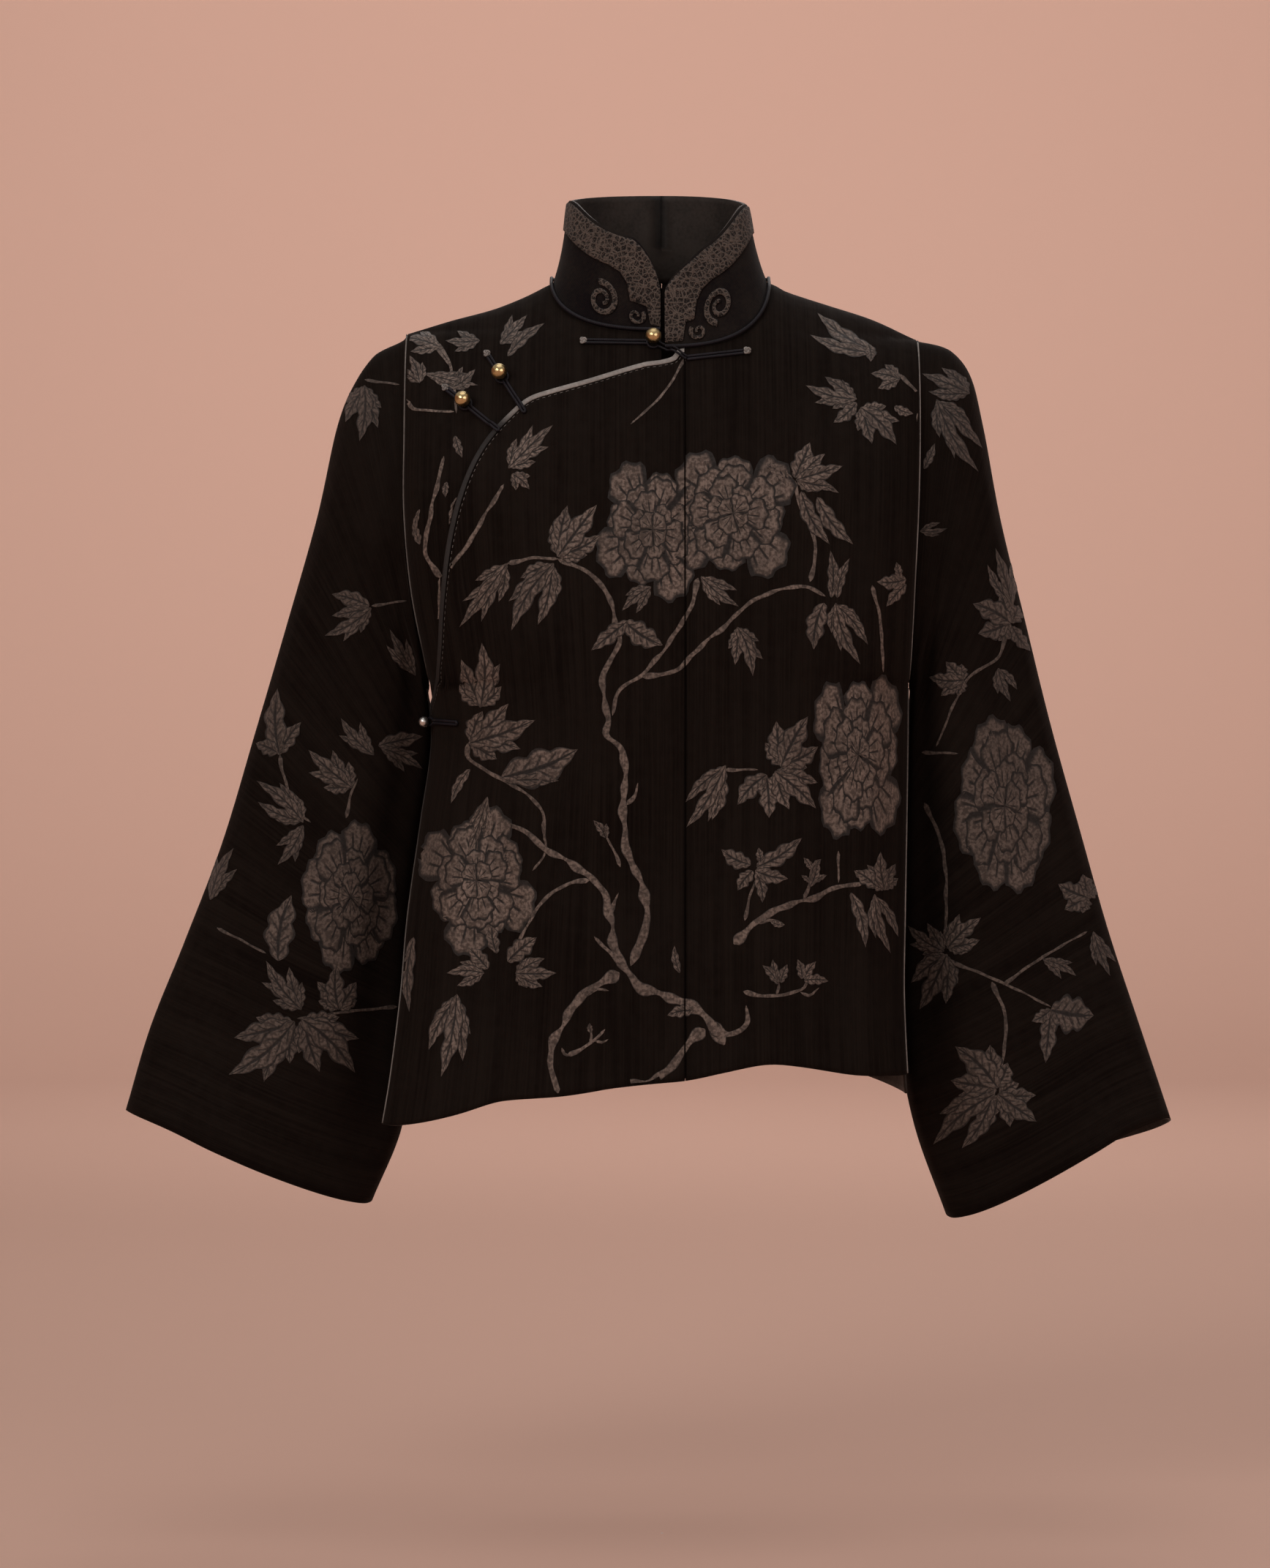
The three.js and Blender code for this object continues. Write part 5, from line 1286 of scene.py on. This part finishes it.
def edge_line(inward=0.0):
    """The overlap's free edge as x and z, moved into the cloth."""
    at = steps(EDGE_STEPS) * (len(EDGE_ROWS) - 1)
    i = np.minimum(at.astype(int), len(EDGE_ROWS) - 2)
    known = np.array(EDGE_ROWS, float)[:, 0]
    x = lerp(known[i], known[i + 1], at - i)
    line = np.stack([x, overlap_edge(x)], -1)
    if not inward:
        return line
    heading = np.empty_like(line)
    heading[1:-1], heading[0], heading[-1] = line[2:] - line[:-2], line[1] - line[0], line[-1] - line[-2]
    heading, z = unit(heading), line[:, 1]
    here = overlap_point(x, z)
    by_x, by_z = (overlap_point(x + 0.5, z) - here) * 2, (overlap_point(x, z + 0.5) - here) * 2
    edge = by_x * heading[:, :1] + by_z * heading[:, 1:]
    into = unit(np.cross(np.cross(by_x, by_z), edge)) * inward
    pairs = (by_x, by_x), (by_x, by_z), (by_z, by_z), (into, by_x), (into, by_z)
    xx, xz, zz, ix, iz = ((a * b).sum(-1) for a, b in pairs)
    scale = 1 / (xx * zz - xz * xz)
    moved = np.stack([x + (ix * zz - iz * xz) * scale, z + (iz * xx - ix * xz) * scale], -1)
    moved[:, 0] = np.clip(moved[:, 0], 0.2 - BODY_HALF, CENTRE_SEAM)
    return moved


def front_overlap():
    line = edge_line(BINDING_WIDTH + 1.5 * GAP)
    x, top = line[:, :1], line[:, 1:]
    z = lerp(top, hem_height(x, True), steps(OVERLAP_STEPS)[None] ** 1.05)
    x = np.broadcast_to(x, z.shape)
    points = overlap_point(x, z)
    sheet = Sheet().add_grid(points, np.stack([x * MM, z * MM], -1), seam_hold(points))
    return sheet.shell("robe_front_overlap", CLOTH, BODY_MIDDLE, [velvet(), lining()])


def overlap_binding():
    across = steps(6)
    lines = np.stack([edge_line(BINDING_WIDTH * c) for c in across], 1)
    swell = np.broadcast_to(BINDING_RISE + 0.35 * (1 - (2 * across - 1) ** 2)[None], lines.shape[:2])
    points = overlap_point(lines[..., 0], lines[..., 1], swell)
    sheet = Sheet().add_grid(points, run_map(points), seam_hold(points))
    return sheet.shell("robe_overlap_binding", CLOTH + BINDING_RISE, BODY_MIDDLE, [binding_silk()])


def sleeve(side):
    share, t = steps(SLEEVE_ROWS)[:, None], steps(SLEEVE_TURNS)[None]
    turn = np.where(t == 1, 0, t * 2 * math.pi)
    points = sleeve_surface(side, turn, share)
    cloth = paired(share * SLEEVE_FLAT, t * lerp(*SLEEVE_GIRTH, share) * MM)
    half_way = {name: column[5] for name, column in SLEEVES[side].columns.items()}
    middle = (
        (half_way["outX"] + half_way["inX"]) / 2, half_way["mid"], (half_way["outZ"] + half_way["inZ"]) / 2,
    )
    name = "robe_sleeve_left" if side > 0 else "robe_sleeve_right"
    return Sheet().add_grid(points, cloth, seam_hold(points)).shell(name, CLOTH, middle, [velvet(), lining()])


def neck_shell(name, points, thickness, materials, hold=None):
    return Sheet().add_grid(points, run_map(points), hold).shell(name, thickness, NECK_MIDDLE, materials)


def collar():
    points = collar_rows(lambda side, x, front: lerp(-0.02, 1, steps(14))[None], 0.0)
    hold = seam_hold(points, (0, -1))
    return neck_shell("robe_collar", points, COLLAR_CLOTH, [collar_velvet(), lining()], hold)


def collar_border():
    def heights(side, x, front):
        inner = np.interp(x, *BORDER_EDGE[side]) if front else np.full_like(x, BORDER_INNER)
        return lerp(inner[:, None], BORDER_TOP, steps(9)[None])

    rise = APPLIQUE_GAP + APPLIQUE + 0.25 * np.sin(math.pi * steps(9))[None]
    return neck_shell("robe_collar_border", collar_rows(heights, rise, 7), APPLIQUE, [looped_border()])


def collar_curl(name):
    side, x, up, radius, width, turns, start = COLLAR_CURLS[name]
    t, d = steps(72)[:, None], np.linspace(-1, 1, 7)[None]
    angle = math.radians(start) + side * turns * 2 * math.pi * t
    r = lerp(radius, radius * CURL_END[0], t) + d * width / 2 * lerp(1, CURL_END[1], t)
    at = x + r * np.cos(angle) * side
    rise = APPLIQUE_GAP + APPLIQUE + 0.5 * (1 - d**2)
    points = collar_point(side, True, start_turn(side, at), up + r * np.sin(angle) / COLLAR_HEIGHT, rise)
    return neck_shell("robe_curl_" + name, points, APPLIQUE, [looped_border()])


def collar_piping():
    """The cord that lies in the corner between the collar's foot and the body."""
    low, upward, body = [], [], []
    for side, front, turns in collar_columns(2):
        x = neck_x(side, turns)
        z = neckline_height(x, front)
        foot = collar_point(side, front, turns, 0.0)
        low.append(foot)
        upward.append(unit(collar_point(side, front, turns, 0.1) - foot))
        normal = body_normal(column_share(x, z), z, front)
        at_side = np.isclose(turns, math.pi / 2)
        body.append(np.where(at_side[:, None], unit(np.array([side * 0.35, 0.0, 1.0])), normal))
    low, upward, body = map(np.concatenate, (low, upward, body))
    outward = unit(np.cross(upward, unit(np.gradient(low, axis=0))))
    away = np.einsum("ij,ij->i", outward, low - np.array(NECK_MIDDLE))
    outward = np.where((away < 0)[:, None], -outward, outward)
    reach = (PIPING_RADIUS + 2 * GAP) / (1 + np.einsum("ij,ij->i", outward, body))
    line = low + (outward + body) * reach[:, None]
    return tube("robe_collar_piping", along(line, steps(420)), PIPING_RADIUS, satin(), sides=12)


# ---------------------------------------------------------------- fastenings
def on_front(x, z, lift=CORD_LIFT):
    return front_point(np.asarray(x, float), np.asarray(z, float), lift)


def reach_out(x, z, angle, reach):
    """The place at a distance from another, in a direction in degrees."""
    return x + reach * math.cos(math.radians(angle)), z + reach * math.sin(math.radians(angle))


def double_cord(name, x, z, angle, start, end):
    """Two rows of satin cord side by side, in one length that turns back at its far end."""
    half = CORD * 1.08
    out = np.linspace(start, end - half, 40)
    turn = np.linspace(math.pi / 2, -math.pi / 2, 9)[1:-1]
    r = np.concatenate([out, end - half + half * np.cos(turn), out[::-1]])
    o = np.concatenate([np.full(40, half), half * np.sin(turn), np.full(40, -half)])
    c, s = math.cos(math.radians(angle)), math.sin(math.radians(angle))
    line = on_front(x + c * r - s * o, z + s * r + c * o)
    return tube(name, line, CORD, satin())


def knot(name, x, z, size, material):
    """A small round knot of three loops."""
    t = np.linspace(0, 2 * math.pi, 64, endpoint=False)
    reach = (2 + np.cos(3 * t)) * size / 3
    at = on_front(x + reach * np.cos(2 * t), z + reach * np.sin(2 * t), 1.5 + size * 0.3 * (1 + np.sin(3 * t)))
    return tube(name, at, size * 0.36, material, sides=8)


def ball(name, node, material):
    """A cast ball button on its shank, with the joint of its two halves round the middle."""
    low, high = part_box(node)
    centre, radius = np.array((low + high) / 2) / MM, (high.z - low.z) / 2 / MM
    rise, turn = steps(30)[:, None] * math.pi, steps(40)[None] * 2 * math.pi
    joint, foot = np.exp(-(((rise - math.pi / 2) / 0.05) ** 2)), np.exp(-((rise / 0.2) ** 2))
    size = radius * (1 - 0.03 * joint + 0.04 * foot)
    local = paired(np.sin(rise) * np.cos(turn) * size, -np.cos(rise) * size, np.sin(rise) * np.sin(turn) * size)
    cloth = paired(turn * radius * MM, rise * radius * MM)
    points, _, quads, corners = Sheet().add_grid(local + centre, cloth).welded(centre)
    piece = make_mesh(name, points, quads, {"Cloth": corners}, [material])
    shank = centre + np.array([0, radius * 0.98, 0])
    t = np.linspace(0, math.pi, 14)[:, None]
    ring = shank + np.cos(t) * np.array([radius * 0.3, 0, 0]) + np.sin(t) * np.array([0, radius * 0.36, 0])
    return join(name, [piece, tube(name + "_shank", ring, radius * 0.13, material, sides=8)])


def loop(name, fastening, radius):
    """The satin loop that goes round the ball's shank and back to its strap."""
    x, z, _, _, angle, start, _, drop = FASTENINGS[fastening]
    foot = np.array(reach_out(x, z - drop, angle, max(start, radius * 1.3)))
    away = foot - (x, z)
    heading = math.atan2(away[1], away[0])
    t = heading + np.linspace(0.35, 2 * math.pi - 0.35, 30)
    ring = np.stack([x + radius * np.cos(t), z + radius * np.sin(t)], -1)
    side = np.array([-math.sin(heading), math.cos(heading)]) * CORD
    there = [foot + side, (foot + side * 1.2 + ring[0]) / 2]
    back = [(foot - side * 1.2 + ring[-1]) / 2, foot - side]
    flat = along(np.concatenate([there, ring, back]), steps(80))
    return tube(name, on_front(flat[:, 0], flat[:, 1], CORD_LIFT + 0.5), LOOP_CORD, satin(), sides=8)


def stitches(name, line, pitch, material):
    """Short hand stitches along a line, half sunk in the cloth."""
    reach = running_length(line)[-1]
    pieces = []
    for k, start in enumerate(np.arange(pitch, reach - pitch, pitch)):
        stitch = along(line, (start + STITCH_LENGTH * steps(4)) / reach)
        pieces.append(tube(f"{name}_{k}", stitch, STITCH_RADIUS, material, sides=5))
    return join(name, pieces)


# ---------------------------------------------------------------- add-on
def colour(name, description, value):
    return bpy.props.FloatVectorProperty(
        name=name, description=description, default=value, min=0, max=1, size=3, subtype="COLOR"
    )


class RobeColours(bpy.types.PropertyGroup):
    """Colours of the cloths and metals."""

    pile: colour("Pile", "Velvet pile in the dark", (0.0042, 0.0024, 0.0018))
    pile_light: colour("Rubbed pile", "Velvet pile where ribs and wear catch the light", (0.0125, 0.0088, 0.0068))
    figure: colour("Figure", "Flat ground inside the woven figure", (0.078, 0.056, 0.0455))
    figure_light: colour("Figure, lit", "Palest threads of the figure", (0.235, 0.178, 0.148))
    figure_dark: colour("Figure, worn", "Darkest patches of the figure", (0.034, 0.025, 0.02))
    border: colour("Border", "Loops of the collar border", (0.078, 0.057, 0.046))
    border_light: colour("Border, lit", "Tips of the border loops", (0.17, 0.132, 0.11))
    border_dark: colour("Border ground", "Ground between the border loops", (0.0065, 0.0045, 0.0038))
    # edge is the binding's own pale silk, and also the painted highlight of the armhole and side seam lines.
    edge: colour("Edge silk", "Pale silk of the bound edges", (0.37, 0.343, 0.322))
    edge_dark: colour("Edge silk, worn", "Soiled and shaded edge silk", (0.13, 0.115, 0.105))
    satin: colour("Satin", "Satin of the piping, straps and loops", (0.0034, 0.0025, 0.0042))
    satin_light: colour("Satin, lit", "Paler threads of the satin", (0.0098, 0.0076, 0.012))
    collar: colour("Collar pile", "Velvet of the collar's field", (0.0042, 0.0026, 0.0034))
    lining: colour("Lining", "Silk inside the robe", (0.011, 0.0078, 0.0062))
    lining_light: colour("Lining, lit", "Paler threads of the lining", (0.034, 0.025, 0.02))
    brass: colour("Brass", "Polished brass of the ball buttons", (0.66, 0.5, 0.25))
    brass_dull: colour("Dull brass", "Brass where it has dulled", (0.36, 0.26, 0.13))
    silver: colour("Silver", "The side button", (0.82, 0.81, 0.78))
    floor: colour("Floor", "Studio floor and backdrop", (0.57, 0.36, 0.285))


class RobeSizes(bpy.types.PropertyGroup):
    """Sizes that can be changed without a new frame."""

    relief: bpy.props.FloatProperty(
        name="Figure relief", description="How far the woven figure stands off the cloth's surface",
        default=0.00034, min=0.0001, max=0.001, unit="LENGTH",
    )
    stitch_pitch: bpy.props.FloatProperty(
        name="Stitch pitch", description="Distance from one hand stitch to the next", default=0.0045, min=0.002,
        max=0.02, unit="LENGTH",
    )
    key_power: bpy.props.FloatProperty(
        name="Key light", description="Power of the large soft light on the camera's left", default=66.0, min=0,
        max=2000, unit="POWER",
    )
    lens: bpy.props.FloatProperty(
        name="Lens", description="Focal length of the camera", default=100.8, min=20, max=400, unit="CAMERA",
        subtype="DISTANCE_CAMERA",
    )


def dressed(piece, slot, *nodes):
    """Hides the CAD nodes that a piece stands for. Its slot is not used."""
    if nodes:
        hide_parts(*nodes)
    return piece


class RobeBody(bpy.types.Operator):
    """Adds the two halves of the body, each front and back in one length over the shoulder."""

    bl_idname = "robe.body"
    bl_label = "Body"

    def execute(self, context):
        dressed(body_left(), "velvet", "body_left")
        dressed(body_right(), "velvet", "body_right")
        return {"FINISHED"}


class RobeOverlap(bpy.types.Operator):
    """Adds the front overlap and the pale silk round its free edge."""

    bl_idname = "robe.overlap"
    bl_label = "Front overlap"

    def execute(self, context):
        dressed(front_overlap(), "velvet", "front_overlap")
        dressed(overlap_binding(), "edge_silk", "overlap_binding")
        return {"FINISHED"}


class RobeSleeves(bpy.types.Operator):
    """Adds the two wide sleeves."""

    bl_idname = "robe.sleeves"
    bl_label = "Sleeves"

    def execute(self, context):
        dressed(sleeve(1), "velvet", "sleeve_left")
        dressed(sleeve(-1), "velvet", "sleeve_right")
        return {"FINISHED"}


class RobeCollar(bpy.types.Operator):
    """Adds the standing collar, its looped border with curls, and the piping at its foot."""

    bl_idname = "robe.collar"
    bl_label = "Collar"

    def execute(self, context):
        dressed(collar(), "velvet", "collar")
        dressed(collar_border(), "border", "collar_border")
        for name in COLLAR_CURLS:
            dressed(collar_curl(name), "border", "collar_curl_" + name)
        dressed(collar_piping(), "satin", "collar_piping")
        return {"FINISHED"}


class RobeFastenings(bpy.types.Operator):
    """Adds the ball buttons with their satin straps, loops and knots."""

    bl_idname = "robe.fastenings"
    bl_label = "Fastenings"

    def execute(self, context):
        colours = context.scene.robe_colours
        brass = metal("polished brass", colours.brass, colours.brass_dull)
        silver = metal("polished silver", colours.silver, colours.edge)
        for name, (x, z, knot_angle, knot_reach, angle, start, reach, drop) in FASTENINGS.items():
            side = name == "side"
            button = ball("robe_button_" + name, "button_" + name, silver if side else brass)
            dressed(button, "silver" if side else "brass", "button_" + name)
            strap = double_cord("robe_strap_loop_" + name, x, z - drop, angle, max(start, 3.0), reach)
            pieces = [strap, loop("loop_" + name, name, 2.9 if side else 4.6)]
            dressed(join("robe_strap_loop_" + name, pieces), "satin", "strap_loop_" + name)
            if name == "neck":
                end = reach_out(x, z - drop, angle, reach)
                dressed(knot("robe_knot_end_neck_left", *end, 2.3, edge_silk()), "edge_silk")
            if knot_reach:
                strap = double_cord("robe_strap_knot_" + name, x, z, knot_angle, 4.0, knot_reach)
                dressed(strap, "satin", "strap_knot_" + name)
                end = reach_out(x, z, knot_angle, knot_reach)
                dressed(knot("robe_knot_end_" + name, *end, 2.2, edge_silk()), "edge_silk")
        return {"FINISHED"}


# The silk along each side's armhole and side, its pale colour a painted highlight: name, the heights between
# which it darkens as painted shade, and how pale its lit colour is.
ARMHOLE_SILK = {-1: ("seam silk with painted light", -0.6, -0.05, 0.5), 1: ("clean seam silk", -1.0, -0.1, 1.0)}
SIDE_SILK = {-1: ("side silk with painted light", -0.3, -0.64, 0.7), 1: ("clean side silk", -0.2, -0.5, 1.0)}


class RobeEdges(bpy.types.Operator):
    """Adds the fine silk edge along the armholes and sides, pale as a painted highlight and darker by height as
    painted shade, and the hand stitches beside the bound edge.
    """

    bl_idname = "robe.edges"
    bl_label = "Edges and stitches"

    def execute(self, context):
        for side, word in ((1, "left"), (-1, "right")):
            top = float(shoulder_height(np.float64(side * BODY_HALF)))
            for front, where in ((True, "front"), (False, "back")):
                z = lerp(top - 3, UNDERARM + 3, steps(120))
                line = body_surface(np.full_like(z, side), z, front)
                line += np.array([side * 0.35, -0.55 if front else 0.55, 0])
                # The pale silk of these lines is a painted highlight along the seam edge, darker by height as
                # painted shade.
                silk = painted_light_edge(*ARMHOLE_SILK[side])
                dressed(tube(f"robe_armhole_{word}_{where}", line, EDGE_CORD, silk, sides=6), "edge_silk")
            z = lerp(UNDERARM - 4, float(front_hem(np.float64(side * 192.0))) + 1, steps(130))
            x = np.full_like(z, side * 191.6)
            line = body_point(column_share(x, z), z, True, 0.35 + (LAYER if side < 0 else 0))
            # The side line's pale silk is the same painted highlight, darker by height as painted shade.
            silk = painted_light_edge(*SIDE_SILK[side])
            dressed(tube(f"robe_side_edge_{word}", line, EDGE_CORD, silk, sides=6), "edge_silk")
        for where, surface, x, top, bottom, count in (
            ("front", front_point, float(CENTRE_SEAM), -64, front_hem, 150),
            ("back", back_point, 0.0, 2, back_hem, 160),
        ):
            z = lerp(top, float(bottom(np.float64(x))) + 2, steps(count))
            line = surface(np.full_like(z, x), z, 0.15)
            dressed(tube("robe_seam_" + where, line, SEAM_CORD, seam_thread(), sides=6), "velvet")
        beside = edge_line(BINDING_WIDTH + 1.4)[2:-2]
        line = overlap_point(beside[:, 0], beside[:, 1], 0.12)
        # The stitches take the right armhole's silk, with its painted highlight and shade.
        pitch, silk = context.scene.robe_sizes.stitch_pitch / MM, painted_light_edge(*ARMHOLE_SILK[-1])
        dressed(stitches("robe_binding_stitches", line, pitch, silk), "edge_silk")
        return {"FINISHED"}


def inside_outline(x, z, front, shoulder, neck):
    """Whether a place on the body is clear of the shoulder fold, neckline, hem and sides."""
    in_neck = (np.abs(x) < neck_half(x)) & (z > neckline_height(x, front) - neck)
    in_height = (z < shoulder_height(x) - shoulder) & (z > hem_height(x, front) + 2)
    return ~in_neck & in_height & (np.abs(x) < FIGURE_SIDE)


def front_allowed(x, z):
    inside = inside_edge(x, z)
    on_binding = (x < CENTRE_SEAM) & (inside > -1.2) & (inside < BINDING_WIDTH + 1.0)
    return inside_outline(x, z, True, 2, 5) & ~on_binding


def back_allowed(x, z):
    return inside_outline(x, z, False, 3, 6)


def sleeve_allowed(turn, share):
    return (share > 0.02) & (share < 0.98)


# The parts of a sleeve that carry the figure, as turns round it in degrees.
SLEEVE_FACES = {"front": (seen_from_front, 1, 7, 176), "back": (seen_from_behind, -1, 184, 353)}


class RobeFigure(bpy.types.Operator):
    """Lays the woven peonies, leaves and branches on the cloth."""

    bl_idname = "robe.figure"
    bl_label = "Woven figure"

    def execute(self, context):
        kinds = {"leaves": leaf_lines, "petals": petal_lines, "stems": stem_lines}
        materials = [figured("figured " + word, lines) for word, lines in kinds.items()]
        # The sleeves get darker copies of these materials, as painted shade.
        shaded_figure = [figured("sleeve " + word, lines, SLEEVE_FIGURE_SHADE) for word, lines in kinds.items()]
        body = drawn(BODY_LEAVES, BODY_FLOWERS, BODY_STEMS)
        for where, surface, project, allowed, upward in (
            ("front", figure_point, seen_from_front, front_allowed, MM),
            ("back", back_point, seen_from_behind, back_allowed, -MM),
        ):
            piece = body.lay(
                "robe_figure_" + where, surface, project, (-192.0, -640.0), (192.0, -5.0), allowed, materials,
                lambda at: at * (MM, upward),
            )
            dressed(piece, "velvet")
        for side, word in ((1, "left"), (-1, "right")):
            for face, (project, way, first, last) in SLEEVE_FACES.items():
                drawing = drawn(SLEEVE_LEAVES[side * way], SLEEVE_FLOWERS[side * way], SLEEVE_STEMS[side * way])
                piece = drawing.lay(
                    f"robe_figure_sleeve_{word}_{face}",
                    lambda turn, share, lift=0.0: sleeve_point(side, turn, share, lift), project,
                    (math.radians(first), 0.02), (math.radians(last), 0.985), sleeve_allowed, shaded_figure,
                    lambda at: np.stack([at[:, 1] * SLEEVE_FLAT, at[:, 0] * SLEEVE_TURN], -1),
                )
                dressed(piece, "velvet")
        return {"FINISHED"}


# The studio, in metres: a floor that curves up into the backdrop. Lights by place, size, share of the key
# light's power and tint. They look at the robe, apart from the one that lights the backdrop in a narrower cone.
FLOOR_Z, COVE_START, COVE_RADIUS, BACKDROP_TOP = -0.95, 5.2, 2.6, 4.2
ROBE_AIM, BACKDROP_AIM = (0, 0, -0.35), (0, 7.5, 1.8)
LIGHTS = {
    "key_light": ((-2.3, -3.4, 1.5), 2.2, 1.0, (1.0, 0.96, 0.92)),
    "fill_light": ((2.6, -3.2, 0.7), 2.6, 0.55, (1.0, 0.97, 0.95)),
    "back_light": ((0.6, 3.2, 2.2), 3.0, 0.7, (1.0, 0.97, 0.95)),
    "top_light": ((0.0, -0.4, 3.4), 3.4, 0.45, (1.0, 0.98, 0.96)),
    "backdrop_light": ((0.0, 1.6, 3.0), 4.0, 1.75, (1.0, 0.99, 0.99)),
}
FLOOR_WORN, WORLD_COLOUR, WORLD_STRENGTH = (0.5, 0.31, 0.245), (0.86, 0.8, 0.77, 1), 0.375


def studio_floor(colours):
    def paint(tree):
        return tinted(tree, rgba(colours.floor), worn_tone(tree, 1.2), 0.04, FLOOR_WORN), None, None

    profile = [(0.001, FLOOR_Z), (3.0, FLOOR_Z), (COVE_START, FLOOR_Z)]
    profile += [
        (COVE_START + COVE_RADIUS * math.sin(a), FLOOR_Z + COVE_RADIUS - COVE_RADIUS * math.cos(a))
        for a in np.linspace(0.08, math.pi / 2, 14)
    ]
    profile.append((COVE_START + COVE_RADIUS, BACKDROP_TOP))
    turn = steps(64) * 2 * math.pi
    rings = np.array([[(r * math.cos(a), r * math.sin(a), z) for a in turn] for r, z in profile]) / MM
    points, _, quads, corners = Sheet().add_grid(rings, rings[..., :2] * MM).welded(np.array([0, 0, 500]))
    material = finish("studio floor", paint, Roughness=0.9)
    return make_mesh("studio_floor", points, quads, {"Cloth": corners}, [material])


class RobeStage(bpy.types.Operator):
    """Adds the pale studio floor, soft lights and the camera."""

    bl_idname = "robe.stage"
    bl_label = "Stage"

    def execute(self, context):
        scene = context.scene
        colours, sizes = scene.robe_colours, scene.robe_sizes

        studio_floor(colours)
        for name, (place, size, power, tint) in LIGHTS.items():
            on_backdrop = name == "backdrop_light"
            data = bpy.data.lights.new(name, "AREA")
            data.shape, data.size, data.energy, data.color = "DISK", size, sizes.key_power * power, tint
            data.spread = math.radians(110 if on_backdrop else 180)
            light = bpy.data.objects.new(name, data)
            light.location = place
            aim = Vector(BACKDROP_AIM if on_backdrop else ROBE_AIM)
            light.rotation_euler = (aim - Vector(place)).to_track_quat("-Z", "Y").to_euler()
            light.visible_camera = False
            scene.collection.objects.link(light)
        world = scene.world or bpy.data.worlds.new("studio")
        scene.world = world
        world.use_nodes = True
        background = world.node_tree.nodes["Background"]
        background.inputs[0].default_value, background.inputs[1].default_value = WORLD_COLOUR, WORLD_STRENGTH
        scene.view_settings.view_transform = "Standard"
        data = bpy.data.cameras.new("camera")
        data.sensor_width, data.lens = 36.0, sizes.lens
        camera = bpy.data.objects.new("camera", data)
        camera.location, camera.rotation_euler = [v * MM for v in CAMERA], (math.pi / 2, 0, 0)
        scene.collection.objects.link(camera)
        scene.camera = camera
        return {"FINISHED"}


class RobeCut(bpy.types.Operator):
    """Does nothing; it states no cloth's cut."""

    bl_idname = "robe.cut"
    bl_label = "State the cut"

    def execute(self, context):
        return {"FINISHED"}


class RobePanel(bpy.types.Panel):
    """Lists the robe's pieces and settings in the sidebar."""

    bl_idname = "VIEW3D_PT_robe"
    bl_label = "Chinese robe"
    bl_space_type = "VIEW_3D"
    bl_region_type = "UI"
    bl_category = "Robe"

    def draw(self, context):
        for group in (context.scene.robe_sizes, context.scene.robe_colours):
            for name in group.__annotations__:
                self.layout.prop(group, name)
        for operator in OPERATORS:
            self.layout.operator(operator.bl_idname)


OPERATORS = (
    RobeStage, RobeBody, RobeOverlap, RobeSleeves, RobeCollar, RobeFastenings, RobeEdges, RobeFigure, RobeCut,
)
CLASSES = (RobeColours, RobeSizes, *OPERATORS, RobePanel)


def register():
    for item in CLASSES:
        bpy.utils.register_class(item)
    bpy.types.Scene.robe_colours = bpy.props.PointerProperty(type=RobeColours)
    bpy.types.Scene.robe_sizes = bpy.props.PointerProperty(type=RobeSizes)


def unregister():
    del bpy.types.Scene.robe_sizes
    del bpy.types.Scene.robe_colours
    for item in reversed(CLASSES):
        bpy.utils.unregister_class(item)


def main():
    register()
    for operator in OPERATORS:
        family, name = operator.bl_idname.split(".")
        getattr(getattr(bpy.ops, family), name)()


if __name__ == "__main__":
    main()
